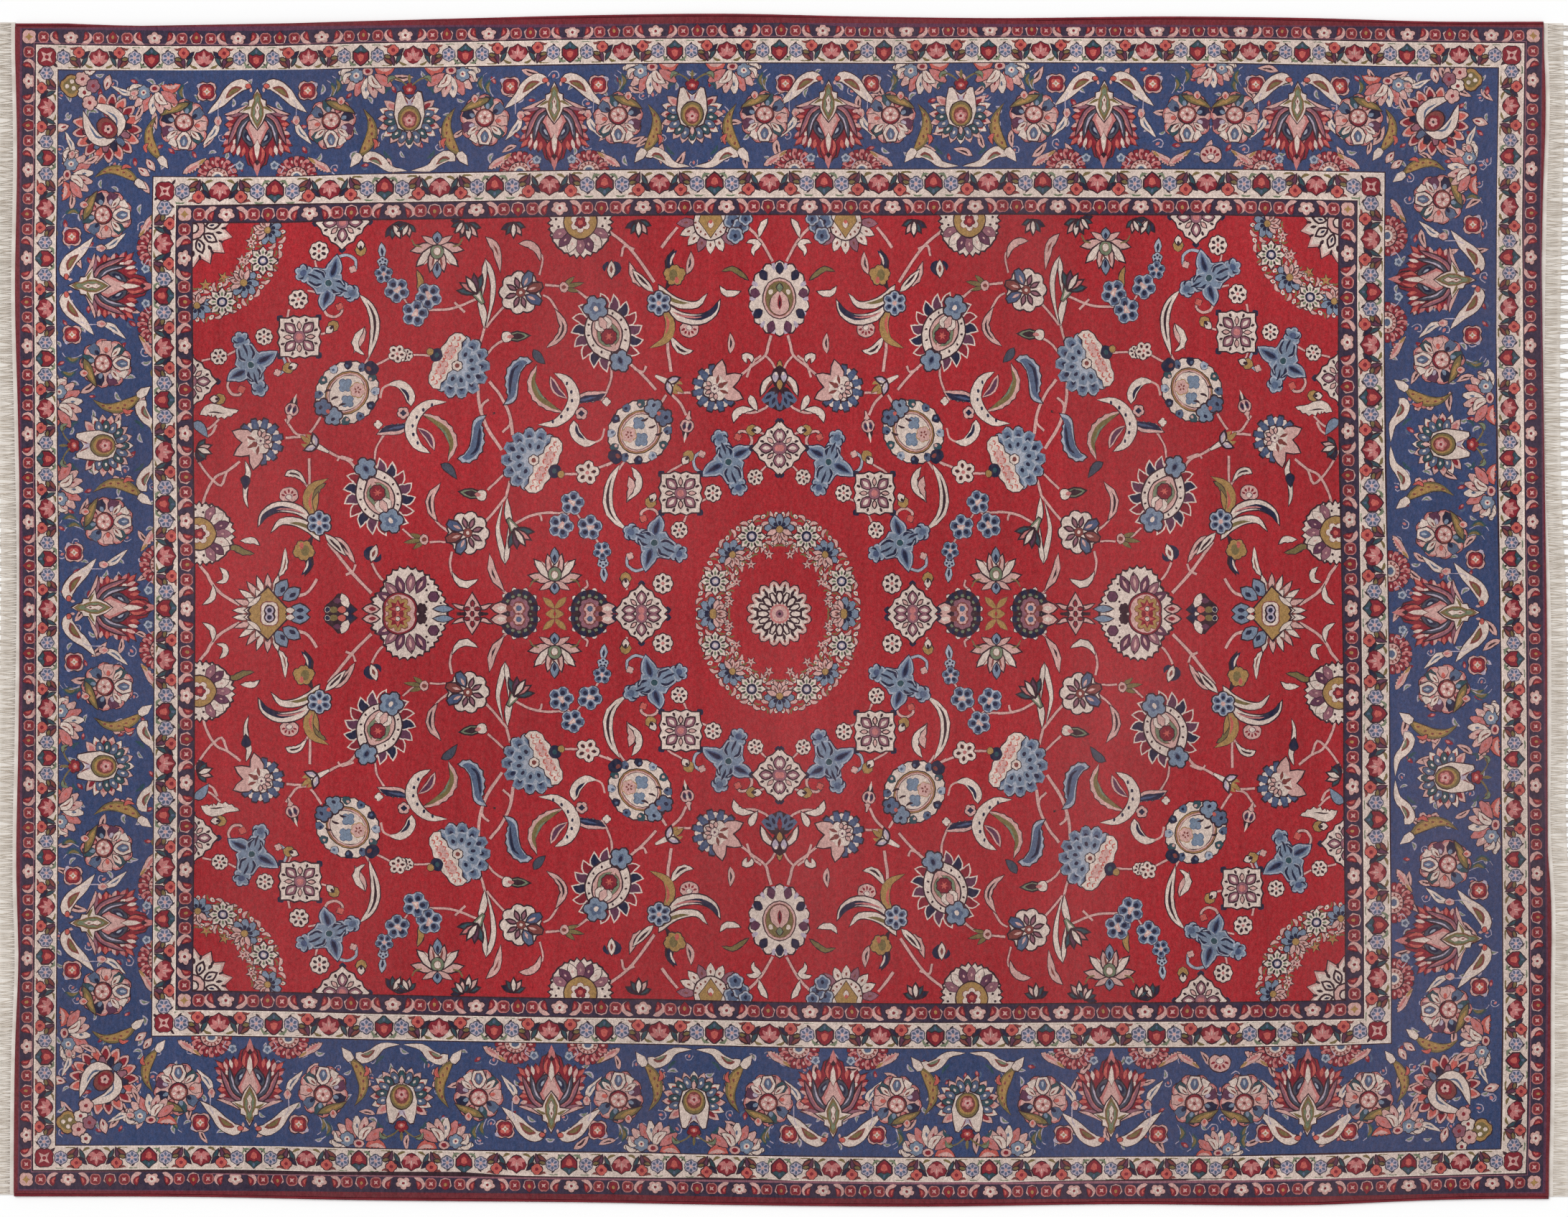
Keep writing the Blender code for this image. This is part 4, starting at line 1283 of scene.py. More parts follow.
def half_palmette(p):
    """A pale palmette hanging from the outer edge, a jagged pink leaf and a blue flower beside it."""
    p.area("coral", blade([(-10, 2), (-24, -3), (-40, 4)], 15, 0.5, 5, 0.5), 1)
    p.area("blush", blade([(-14, 1), (-26, -1), (-38, 3)], 6, 0.5))
    p.area("rose", blade([(-14, -8), (-27, -15), (-33, -12)], 13, 0.5, 4, 0.5), 1)
    p.area("gold", oval(3.4, count=6, x=-26, y=-13))
    for k, leaf in enumerate(around(8, 12, drop(31, 14, 0.25), start=96, span=138)):
        p.area(("ivory", "blush", "blush", "rose")[k % 4], leaf, 1)
        p.area(("steel", "ruby", "ivory", "coral")[k % 4], shrunk(leaf, 0.24))
    p.area("ivory", blade([(-2, -6), (-8, -20), (-20, -27)], 12, 0.45), 1)
    p.area("rust", blade([(-5, -10), (-9, -20), (-15, -24)], 2))
    p.area("sky", lobes(6, 10.8, 0.18) + (17, -9), 1.2)
    p.area("ivory", oval(4.6, count=7, x=17, y=-9))
    p.area("ruby", oval(2, count=5, x=17, y=-9))
    p.area("ivory", blade([(24, -6), (33, -9), (35, -20)], 6), 0.9)
    p.area("ivory", blade([(24, 0), (34, 0), (40, -8)], 6), 0.9)
    p.area("blush", oval(8, 6, 9, 0, -3), 1)
    p.area("ruby", oval(4.4, 3.4, 7, 0, -3))


def ground_slip(p):
    """A slip of leaf, dark within."""
    p.area("lilac", blade([(0, -8), (3, 0), (0, 8)], 6.4))
    p.area("sage", blade([(0, -5), (2.6, 0), (0, 6)], 3))


def ground_curl(p):
    """A thread of vine curling round a small petal."""
    p.area("lilac", ribbon([(-7, -6), (-6, 3), (1, 6), (6, 1), (3, -3)], 1.4))
    p.area("rose", drop(7, 4.4) + (-1, -5))


def ground_bud(p):
    """A red bud with a pink tip."""
    p.area("ruby", drop(13, 7, 0.3) + (0, -7))
    p.area("rose", drop(7, 4) + (0, -2))
    p.area("steel", blade([(2, -7), (6, -3), (6, 4)], 3))


def olive_leaf(p):
    """A small green leaf on a thread of vine."""
    p.area("lilac", ribbon([(9, 16), (2, 10), (2, -4), (7, -14)], 1.1))
    p.area("teal", blade([(3, 13), (-3, 0), (3, -13)], 8))
    p.area("olive", blade([(2, 9), (-2, 0), (2, -9)], 4.6))


def corner_palmette(p):
    """The palmette in each corner, its white sepals to the corner."""
    for k, leaf in enumerate(around(15, 22, drop(26, 15, 0.2), start=34, span=292)):
        p.area("blush", leaf, 1.1)
        p.area(("coral", "ruby")[k % 2], shrunk(leaf, 0.66))
    p.many("outline", around(11, 17, drop(18, 12, 0.5), start=56, span=248))
    for k, cell in enumerate(around(11, 18, drop(15, 9, 0.5), start=56, span=248)):
        p.area(("navy", "mauve", "steel")[k % 3], cell)
    for side in (-1, 1):
        sepal = [(side * 2, -19), (side * 19, -8), (side * 20, 14), (side * 7, 40)]
        p.area("ivory", blade(sepal, 15, 0.5), 1.4)
        p.area("steel", blade([(side * 10, -9), (side * 19, 2), (side * 15, 20)], 3, 0.5))
    p.area("rust", oval(12, 15.4, 14), 1.55)
    p.area("ruby", profile((9, 8, 9, 11, 12)))
    p.area("blush", lobes(5, 6.4, 0.25) + (0, -2))
    p.area("outline", oval(2.2, count=6, y=-2))


def corner_bouquet(p):
    """A gold flower with three white dots and small flowers round it."""
    p.area("gold", lobes(4, 16.4, 0.16, start=45), 1.6)
    p.area("olive", lobes(4, 12, 0.16, start=45))
    for x, y in ((-5, 4), (5, 4), (0, -5)):
        p.area("ivory", oval(3.3, count=7, x=x, y=y))
    for x, y, r, dye in (
        (19, -4, 11, "blush"), (7, -20, 10, "ivory"), (23, -22, 10, "mauve"), (2, -36, 11, "blush"),
        (36, -2, 8, "ivory"),
    ):
        p.area(dye, lobes(5, r, 0.2) + (x, y), 1.3)
        p.area("ruby", oval(3, count=6, x=x, y=y))


def side_bud(p):
    """A small bud, pink outside and white within, tip up."""
    p.area("blush", drop(28, 15) + (0, -12), 1.3)
    p.area("ivory", drop(19, 8) + (0, -9))
    p.area("ruby", drop(10, 4) + (0, -7))


# The guard stripes' motifs.


def guard_palmette(p):
    """A red palmette of five pink petals, open to the outer edge."""
    fan = [(0, 11.4), (5.4, 7.8), (10, 6.8), (12.8, 1), (10, -4), (4.6, -9.6), (0, -11)]
    p.area("ruby", mirrored(fan), 1.2)
    for lean, length in ((-72, 12), (72, 12), (-36, 14), (36, 14), (0, 17)):
        p.area("rose", petal(length, 5.6, lean, 0, -7))
        p.area("blush", petal(length * 0.5, 2.2, lean, 0, -3))
    p.area("ruby", oval(2.6, 3, 6, 0, -8))
    p.both("olive", blade([(8, -13), (14, -12), (19, -8)], 3.6))


def guard_spray(p):
    """A dark leaf spray with a red flower, leaning right."""
    for x, y, lean, length, dye in (
        (-3, -11, -24, 18, "teal"), (0, -13, 14, 18, "plum"), (2, -12, 52, 16, "rust"),
        (-3, -2, -46, 14, "navy"), (4, -4, 78, 11, "olive"),
    ):
        p.area(dye, petal(length - 3.5, 3.8, lean, x, y + 1.5), 1.3)
    p.area("coral", lobes(4, 6.6, 0.2) + (1, 6), 1)
    p.area("ruby", oval(2.4, count=6, x=1, y=6))


def guard_leaves(p):
    """Slips of leaf along both edges of a guard stripe."""
    p.area("rust", blade([(-6, 14), (0, 11), (5, 13)], 3.4))
    p.area("olive", blade([(-8, -12), (-1, -15), (7, -13)], 3.4))
    p.area("sage", blade([(8, 13), (14, 15), (20, 13)], 3))
    for x, y, lean in ((-11, 9, 20), (-3, 0, 75), (17, 9, -40), (20, -10, 35), (-13, -6, -30)):
        p.area("outline", petal(9, 3.2, lean, x, y - 4))


def guard_rosette(p):
    """A round lilac flower with blue petals."""
    p.area("lilac", lobes(6, 8.4, 0.14), 1.2, "slate")
    p.many("steel", around(6, 2.2, drop(5.6, 3.6)))
    p.area("blush", oval(2.2, count=6))


def guard_bud(p):
    """A red bud under a blue-green cap."""
    p.area("ruby", mirrored([(0, 8), (5, 7), (9.6, 4), (9.4, -4), (4, -10), (0, -12.6)]), 1.8)
    p.area("coral", mirrored([(0, 2), (4.4, 0), (3, -6), (0, -8)]))
    p.area("teal", mirrored([(0, 13.6), (4, 9.6), (9, 6), (4.4, 4), (0, 6)]), 1.2)
    p.area("steel", oval(1.6, 2.4, 6, 0, 8.6))
    p.both("sage", blade([(5, -12), (12, -11), (16, -4)], 3.4))


def chain_floret(p):
    """A pink flower of five petals, wider than it is tall."""
    p.area("blush", lobes(5, 10, 0.3, squash=0.8), 1)
    p.area("ivory", lobes(5, 6, 0.3, squash=0.8))
    p.area("ruby", oval(2, count=6))


def chain_hook(p):
    """A red crescent in a pale rim, its back to the flower."""
    p.area("blush", blade([(3, 8), (6, 1), (1, -6), (-5, -8)], 7.4, 0.45))
    p.area("ruby", blade([(1, 8), (2, 2), (-2, -4)], 6.4, 0.45), 0.7)
    p.area("coral", blade([(1, 5), (1.4, 1), (-1, -2)], 2.6))


def chain_square(p):
    """A square red flower in a dark rim."""
    p.area("rust", lobes(4, 6.8, 0.12, start=45), 1, "rose")
    p.area("ruby", lobes(4, 5.6, 0.2, start=45))
    p.area("blush", star(4, 3.8, 1.6, start=45))


def chain_trefoil(p):
    """A red bud in a pale cup."""
    p.area("blush", mirrored([(0, 8), (5, 5), (8.4, 2), (6, -6), (0, -8)]))
    p.area("ruby", mirrored([(0, 9), (4, 5), (6, 0), (4.4, -5), (0, -6)]), 0.7)
    p.area("gold", oval(2, 2.6, 6, 0, 1))


def corner_tile(p):
    p.area("ruby", lobes(4, 14, 0.16, start=45), 1.2)
    p.area("blush", star(4, 11, 4.4, start=45))
    p.area("ruby", oval(3, count=6))


def corner_gilt(p):
    p.area("blush", lobes(4, 10.5, 0.18, start=45), 1)
    p.area("gold", star(4, 6, 3))


# The straight bands of the plan: left, top, right, bottom.
CHAIN_OUT = (30, 36, 2148.5, 1665)
IVORY_OUT = (49.5, 57.5, 2124, 1638.5)
BLUE = (79.5, 91, 2089, 1605)
IVORY_IN = (214, 240, 1932, 1452)
CHAIN_IN = (246, 279, 1895, 1417)
FIELD = (270.5, 304, 1868, 1389.5)

# Where the border's motifs stand along each side, from the left or from the top.
LYRES = {
    "top": (358, 772, 1154, 1539, 1809), "bottom": (350, 769, 1160, 1545, 1817),
    "left": (393, 846, 1293), "right": (388, 853, 1310),
}
LILIES = {
    "top": (570, 964, 1339), "bottom": (561, 967, 1346),
    "left": (618, 1071), "right": (618, 1084),
}
# Place, and the way its crescent leans: 1 towards the right or the bottom.
ROSETTES = {
    "top": ((256, 1), (461, -1), (675, 1), (861, -1), (1065, 1), (1241, -1), (1441, 1), (1655, -1),
            (1722, 1), (1894, -1)),
    "bottom": ((251, 1), (452, -1), (668, 1), (862, -1), (1070, 1), (1248, -1), (1450, 1), (1660, -1),
               (1729, 1), (1901, -1)),
    "left": ((293, 1), (502, -1), (725, 1), (958, -1), (1187, 1), (1390, -1)),
    "right": ((276, 1), (500, -1), (744, 1), (960, -1), (1205, 1), (1408, -1)),
}
# Where two rosettes stand close together and small motifs fill the gap.
CLOSE_PAIRS = {"top": 1689, "bottom": 1695}

# What stands at both hands of a motif: motif, how far along and out, size, and its hand:
# 1 turned over on the left, -1 turned over on the right, 0 the same on both.
BY_LYRE = (
    (half_fan, 54, -74, 1, 0), (fan_leaf, 86, -60, 0.95, -1), (square_flower, 69, 45, 0.95, 1),
    (s_leaf, 60, -6, 0.95, -1), (olive_leaf, 103, 44, 0.9, -1), (bird_leaf, 0, 2, 0.97, 1),
)
BY_LILY = (
    (half_palmette, 58, 72, 0.95, 1), (comma_leaf, 0, 4, 1, 1), (horn_scallop, 46, -22, 0.9, 1),
    (gold_horn, 63, -13, 1, -1), (olive_leaf, 100, 50, 0.9, 1),
)
BY_CLOSE_PAIR = ((olive_leaf, 35, 55, 0.9, 1), (fan_leaf, 44, -58, 0.9, -1))

# The corners' middles, which way is out there (right, up), and the turn that points out.
CORNERS = (
    (149, 172, -1, 1, -45), (2000, 167, 1, 1, 45),
    (147, 1514, -1, -1, -135), (2009, 1519, 1, -1, 135),
)
# What stands twice in a corner: motif, how far in along both sides, lean, turn, size, hand.
BY_CORNER = (
    (gold_horn, 68, 10, 45, 0, 0.9, -1), (half_palmette, 66, -58, 45, 0, 0.9, -1),
    (side_bud, 0, -62, 60, 0, 0.8, 1), (s_leaf, 28, -52, 120, 0, 0.8, 1),
    (side_bud, 60, 50, 10, 180, 0.7, 1), (small_leaf, 44, -22, 70, 0, 0.8, 1),
)

# One repeat of a guard stripe: its length, the motif in its middle, those at both hands
# (motif, how far along, size, hand), the one between two repeats, and the corner's.
IVORY_REPEAT = (
    147, guard_palmette,
    ((guard_leaves, 37, 1, 1), (guard_spray, 27, 1.12, 1), (guard_rosette, 50, 1, 0)),
    guard_bud, corner_tile,
)
CHAIN_REPEAT = (
    119, chain_floret, ((chain_hook, 20, 1, 1), (chain_square, 39, 1, 0)), chain_trefoil, corner_gilt,
)
# The stripes: outer and inner box, repeat, size, and 1 where its motifs point outwards.
GUARDS = (
    (IVORY_OUT, BLUE, IVORY_REPEAT, 1.05, 1), (IVORY_IN, CHAIN_IN, IVORY_REPEAT, 1.16, -1),
    (CHAIN_OUT, IVORY_OUT, CHAIN_REPEAT, 1.08, 1), (CHAIN_IN, FIELD, CHAIN_REPEAT, 1.2, -1),
)

# Each side: where its line is in a box, the turn that points out, which way out is on the
# photograph, and 1 where a motif's right hand points on along the side.
SIDES = {
    "top": (1, 0, -1, 1), "bottom": (3, 180, 1, -1), "left": (0, -90, -1, -1), "right": (2, 90, 1, 1),
}

# The strewn bits of the border: how far out each row is, and how far apart and uneven they are.
BIT_ROWS = (-50, -17, 17, 50)
BIT_STEP = 25
BIT_MARGIN = 12
BIT_UNEVEN = (8, 16)  # along, out


def side_spot(side, outer, inner, along, out=0):
    """The drawing's point this far along a side and out from the middle of the band between two boxes."""
    line, _, way, _ = SIDES[side]
    across = (outer[line] + inner[line]) / 2 + way * out
    return on_plan(*((along, across) if line % 2 else (across, along)))


def ground_bits(areas):
    """Slips, curls and buds strewn over the border's ground, under everything else."""
    strewn = random.Random(12)
    motifs = (ground_slip, ground_curl, ground_bud, ground_slip, small_leaf)
    for side, (line, *_) in SIDES.items():
        first, last = (BLUE[0], BLUE[2]) if line % 2 else (BLUE[1], BLUE[3])
        at = first + BIT_MARGIN
        while at < last - BIT_MARGIN:
            for row in BIT_ROWS:
                out = row + strewn.uniform(-BIT_UNEVEN[1], BIT_UNEVEN[1])
                motif = motifs[strewn.randrange(len(motifs))]
                along = at + strewn.uniform(-BIT_UNEVEN[0], BIT_UNEVEN[0])
                turn, size = strewn.uniform(0, 360), strewn.uniform(0.7, 1)
                motif(Pen(areas, *side_spot(side, BLUE, IVORY_IN, along, out), turn, size))
            at += BIT_STEP


def border_areas():
    """The main border's motifs, from the lowest to the topmost."""
    areas = []
    ground_bits(areas)

    def put(side, motif, along, out, size=1, flip=1):
        _, turn, _, hand = SIDES[side]
        motif(Pen(areas, *side_spot(side, BLUE, IVORY_IN, along, out), turn, size, flip * hand))

    def put_beside(side, rows, at, stretch=1):
        for k in (-1, 1):
            for motif, along, out, size, hand in rows:
                put(side, motif, at + k * along * stretch, out, size, hand * k or 1)

    def nearest(side, at):
        return min(abs(at - place) for place, _ in ROSETTES[side])

    for side in SIDES:
        for at in LYRES[side]:
            put_beside(side, BY_LYRE, at, nearest(side, at) / 100)
            put(side, lyre, at, 2, 0.97)
        for at in LILIES[side]:
            put_beside(side, BY_LILY, at, nearest(side, at) / 105)
            put(side, lily, at, 0)
        for at, lean in ROSETTES[side]:
            put(side, rosette, at, -2, 0.93, lean)
    for side, at in CLOSE_PAIRS.items():
        put(side, half_palmette, at, 74, 0.8)
        put(side, fan_flower, at, -58, 1.1)
        put_beside(side, BY_CLOSE_PAIR, at)
    for corner in CORNERS:
        corner_areas(areas, *corner)
    return areas


def corner_areas(areas, x, y, right, up, turn):
    """A corner's palmette and what stands round it, in towards the middle of the carpet."""
    mirror = -right * up

    def put(motif, across, along, lean, size, flip):
        spot = on_plan(x - right * across, y + up * along)
        motif(Pen(areas, *spot, turn + lean * mirror, size, flip * mirror))

    put(corner_palmette, 0, 0, 0, 1, 1)
    put(corner_bouquet, -50, -58, 0, 0.95, 1)
    for m in (1, -1):
        for motif, *inwards, lean, more, size, hand in BY_CORNER:
            put(motif, *inwards[::m], m * lean + more, size, m * hand)


def guard_areas(outer, inner, repeat, size, way):
    """One guard stripe between two boxes."""
    pitch, heart, beside, between, corner = repeat
    areas = []
    for side, (line, turn, _, hand) in SIDES.items():
        low, high = ((outer[k] + inner[k]) / 2 for k in ((0, 2) if line % 2 else (1, 3)))
        count = max(1, round((high - low) / pitch))
        step = (high - low) / count

        def put(motif, along, size, flip=1):
            spot = side_spot(side, outer, inner, along)
            motif(Pen(areas, *spot, turn + (0 if way > 0 else 180), size, flip * hand * way))

        for k in range(count):
            at = low + (k + 0.5) * step
            put(heart, at, size)
            for m in (-1, 1):
                for motif, along, share, over in beside:
                    put(motif, at + m * along * (step / pitch), share * size, m * over or 1)
            if k:
                put(between, low + k * step, size)
    for x in (0, 2):
        for y in (1, 3):
            spot = on_plan((outer[x] + inner[x]) / 2, (outer[y] + inner[y]) / 2)
            corner(Pen(areas, *spot))
    return areas


PILE_PLAN = (22, 29.5, 2154, 1671.5)  # the pile's straight rectangle on the plan
RIPPLE_STEP = 26  # knots between the points that carry the ripple
CUT_CLOSE = 1e-4  # knots within which two points are cut as one

# How the bands wander from their straight lines: place along the side, then the
# shift down or to the right there, both in knots.
WANDER = {
    "left": (
        (50, 1), (250, 0), (350, -2), (500, -1), (650, 0), (800, 2), (950, 1.5), (1100, 1), (1250, 0),
        (1400, -1.5), (1550, -2.5), (1650, -3),
    ),
    "top": (
        (30, 4), (120, 6), (300, 7), (400, 6.5), (500, 3), (620, 1.5), (760, -1.5), (900, -3.5),
        (1086, -4.5), (1250, -3.5), (1400, -5), (1550, -4), (1700, -4), (1850, -1), (1950, 1), (2150, 3),
    ),
    "right": (
        (50, -1), (120, -1.5), (250, -4), (350, -4.5), (500, -5), (650, -3.5), (800, 0), (950, 2.5),
        (1100, 2.5), (1250, 4.5), (1400, 5), (1550, 5), (1620, 1), (1670, 0),
    ),
    "bottom": (
        (30, -9), (120, -9), (300, -10), (400, -8), (500, -5), (620, -2.5), (760, 0), (900, 1.5),
        (1086, 6), (1250, 8), (1400, 8), (1550, 6.5), (1700, 6), (1850, 3.5), (1950, 0), (2050, -3),
        (2150, -5),
    ),
}

pile_low, pile_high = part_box("pile_carpet")
KNOT_X = (pile_high.x - pile_low.x) / (PILE_IN_PHOTO[2] - PILE_IN_PHOTO[0])
KNOT_Y = (pile_high.y - pile_low.y) / (PILE_IN_PHOTO[3] - PILE_IN_PHOTO[1])
KNOT = (KNOT_X + KNOT_Y) / 2


def floor_point(x, y):
    """Metres from plan knots, which are the photograph's pixels."""
    return pile_low.x + (x - PILE_IN_PHOTO[0]) * KNOT_X, pile_high.y - (y - PILE_IN_PHOTO[1]) * KNOT_Y


# Parts of the plan, left, top, right, bottom: inside the first lie no corners, outside
# the second lie only the edges' own points.
BETWEEN_CORNERS = (60, 60, 2120, 1640)
NEAR_EDGES = (80, 80, 2100, 1600)


def plan_edges():
    """The carpet's four wandering edges, from the solid's own outline: knots along, knots across."""
    points = np.array([v.co[:2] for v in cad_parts["pile_carpet"].data.vertices])
    x = PILE_IN_PHOTO[0] + (points[:, 0] - pile_low.x) / KNOT_X
    y = PILE_IN_PHOTO[1] + (pile_high.y - points[:, 1]) / KNOT_Y
    edges = {}
    for side, (line, *_) in SIDES.items():
        along, across = (x, y) if line % 2 else (y, x)
        first, last = BETWEEN_CORNERS[1 - line % 2::2]
        outside = across < NEAR_EDGES[line] if line < 2 else across > NEAR_EDGES[line]
        near = outside & (along > first) & (along < last)
        order = np.argsort(along[near])
        edges[side] = (along[near][order], across[near][order])
    return edges


EDGES = plan_edges()


def edge_at(side, along):
    return np.interp(along, *EDGES[side])


def laid(points):
    """Plan points in metres, moved with the wandering bands and edges, less towards the middle."""
    x, y = np.asarray(points, float).T
    moved = [x.copy(), y.copy()]
    for line, (side, wander) in enumerate(WANDER.items()):
        axis = line % 2
        here, along = (y, x) if axis else (x, y)
        middle, rim = PHOTO_MIDDLE[axis], PILE_PLAN[line]
        out = (here - middle) / (rim - middle)
        stops = [(stop - middle) / (rim - middle) for stop in (middle, FIELD[line], CHAIN_OUT[line], rim)]
        band = np.interp(along, *np.array(wander, float).T)
        moved[axis] += np.interp(out, stops, (0, 1, 1, 0)) * band
        moved[axis] += np.interp(out, stops[2:], (0, 1)) * (edge_at(side, along) - rim)
    return np.column_stack(floor_point(*moved))


def rim_of(box):
    """The box's outline with a point at every ripple step, and the points inside it."""
    left, top, right, bottom = box
    across = np.linspace(left, right, max(2, round((right - left) / RIPPLE_STEP) + 1))
    down = np.linspace(top, bottom, max(2, round((bottom - top) / RIPPLE_STEP) + 1))
    rim = [(x, top) for x in across[:-1]] + [(right, y) for y in down[:-1]]
    rim += [(x, bottom) for x in across[:0:-1]] + [(left, y) for y in down[:0:-1]]
    inside = [(x, y) for x in across[1:-1] for y in down[1:-1]]
    return rim, inside


def cut(box, ground_dye, areas):
    """Points, triangles and dyes of the box once each area is laid over the ones before."""
    rim, inside = rim_of(box)
    left, top, right, bottom = box
    points, faces, dyes = list(rim), [range(len(rim))], [ground_dye]
    for dye, shape in areas:
        low, high = shape.min(axis=0), shape.max(axis=0)
        if high[0] < left or low[0] > right or high[1] < top or low[1] > bottom:
            continue
        faces.append(range(len(points), len(points) + len(shape)))
        points.extend((shape if turns_left(shape) else shape[::-1]).tolist())
        dyes.append(dye)
    made = delaunay_2d_cdt([Vector(p) for p in points], [], [list(f) for f in faces], 1, CUT_CLOSE)
    shown = [(face, max(over)) for face, over in zip(made[2], made[5]) if 0 in over]
    triangles = np.array([face for face, _ in shown])
    return cut_again(np.array(made[0])[:, :2], triangles, [dyes[over] for _, over in shown], inside)


def triangle_edges(triangles):
    """The three edges of every triangle: all the first ones, then the second, then the third."""
    return np.concatenate([triangles[:, [0, 1]], triangles[:, [1, 2]], triangles[:, [2, 0]]])


def cut_again(points, triangles, dyes, inside):
    """The same picture cut only between unlike dyes, which takes far fewer triangles."""
    number = np.unique(dyes, return_inverse=True)[1]
    edges, which = np.unique(np.sort(triangle_edges(triangles), axis=1), axis=0, return_inverse=True)
    which, both = which.ravel(), np.tile(number, 3)
    lowest, highest = np.full(len(edges), len(DYES)), np.full(len(edges), -1)
    np.minimum.at(lowest, which, both)
    np.maximum.at(highest, which, both)
    lines = edges[(lowest != highest) | (np.bincount(which) == 1)]
    used, lines = np.unique(lines, return_inverse=True)
    spots = [Vector(p) for p in points[used]] + [Vector(p) for p in inside]
    made = delaunay_2d_cdt(spots, lines.reshape(-1, 2).tolist(), [], 0, CUT_CLOSE)
    plan, fresh = np.array(made[0])[:, :2], np.array(made[2])
    under = BVHTree.FromPolygons([(x, y, 0) for x, y in points], triangles.tolist())
    down = Vector((0, 0, -1))
    owner = [under.ray_cast(Vector((x, y, 1)), down)[2] for x, y in plan[fresh].mean(axis=1)]
    kept = [k for k, face in enumerate(owner) if face is not None]
    return plan, fresh[kept], [dyes[owner[k]] for k in kept]


def ripple(places):
    """Height of the lying carpet above its flat level, in metres."""
    x, y = places.T
    long_waves = np.sin(2.1 * x + 0.6 * y + 1.0) + 0.7 * np.sin(3.7 * y - 1.3 * x)
    waves = long_waves + 0.5 * np.sin(6.1 * x + 2.0) * np.sin(5.3 * y)
    return RIPPLE * waves / (1 + 0.7 + 0.5)


def mesh_object(name, points, faces, material, smooth_shaded=True):
    """A piece of the scene from its points and faces, with its flat map."""
    mesh = bpy.data.meshes.new(name)
    mesh.from_pydata(np.asarray(points).tolist(), [], [list(map(int, f)) for f in faces])
    mesh.materials.append(material)
    mesh.polygons.foreach_set("use_smooth", [smooth_shaded] * len(mesh.polygons))
    made = bpy.data.objects.new(name, mesh)
    bpy.context.scene.collection.objects.link(made)
    unwrap_flat(mesh)
    return made


def unwrap_flat(mesh):
    """A flat map of the piece seen from above, filling the square."""
    corners = np.empty(len(mesh.vertices) * 3)
    mesh.vertices.foreach_get("co", corners)
    places = corners.reshape(-1, 3)[:, :2]
    low, span = places.min(axis=0), np.ptp(places, axis=0)
    index = np.empty(len(mesh.loops), np.int32)
    mesh.loops.foreach_get("vertex_index", index)
    spread = BAKE_MARGIN + (1 - 2 * BAKE_MARGIN) * (places[index] - low) / span
    mesh.uv_layers.new(name="OFBake").data.foreach_set("uv", spread.ravel())


def open_edges(triangles):
    """Edges that only one triangle has, with that triangle's number."""
    ends = triangle_edges(triangles)
    owner = np.tile(np.arange(len(triangles)), 3)
    _, first, count = np.unique(np.sort(ends, axis=1), axis=0, return_index=True, return_counts=True)
    lone = first[count == 1]
    return ends[lone], owner[lone]


def pile_piece(name, plans, material):
    """One piece of pile from cut plans: the clipped top, and its side down to the foundation."""
    points, triangles, colours = [], [], []
    count = 0
    for plan, faces, dyes in plans:
        places = laid(plan)
        p, q, r = (places[faces[:, k]] for k in range(3))
        area = (q - p)[:, 0] * (r - p)[:, 1] - (q - p)[:, 1] * (r - p)[:, 0]
        faces = np.where((area > 0)[:, None], faces, faces[:, ::-1])
        points.append(np.column_stack([places, PILE_TOP + ripple(places)]))
        triangles.append(faces + count)
        colours.append(np.array([WOOL[dye] for dye in dyes]))
        count += len(places)
    points, triangles, colours = map(np.vstack, (points, triangles, colours))
    ends, owner = open_edges(triangles)
    used, ends = np.unique(ends, return_inverse=True)
    ends = ends.reshape(-1, 2)
    roots = points[used] * (1, 1, 0) + (0, 0, PILE_ROOT)
    below = len(points) + ends
    sides = np.column_stack([used[ends[:, 1]], used[ends[:, 0]], below])
    faces = triangles.tolist() + sides.tolist()
    made = mesh_object(name, np.vstack([points, roots]), faces, material, smooth_shaded=False)
    corner = np.vstack([np.repeat(colours, 3, axis=0), np.repeat(colours[owner], 4, axis=0)])
    corner = np.column_stack([corner, np.ones(len(corner))])
    layer = made.data.color_attributes.new("dye", "FLOAT_COLOR", "CORNER")
    layer.data.foreach_set("color", corner.ravel())
    return made


def field_areas():
    """Every area of the field's quarter, from the lowest to the topmost."""
    areas = []
    pen = Pen(areas, 0, 0)
    for dye, more in (("ruby", 2.0), ("blush", -0.4)):
        vines = (ribbon([on_plan(*p) for p in route], width + more) for width, route in FIELD_VINES)
        pen.many(dye, vines)
    for dye, width, belly, teeth, rib, route in FIELD_LEAVES:
        spine = [on_plan(*p) for p in route]
        pen.area(dye, blade(spine, width, belly, 3, teeth), 1.2)
        if rib:
            pen.area(rib, blade(smooth(spine, 3)[2:-2], 0.3 * width, belly, 1))
    for motif, x, y, turn in garland_places():
        motif(Pen(areas, *on_plan(x, y), turn))
    for motif, places in FIELD_MOTIFS:
        for x, y, turn, size in places:
            motif(Pen(areas, *on_plan(x, y), turn, size))
    return areas


def box_area(dye, box):
    left, top, right, bottom = box
    return dye, np.array([(left, top), (right, top), (right, bottom), (left, bottom)], float)


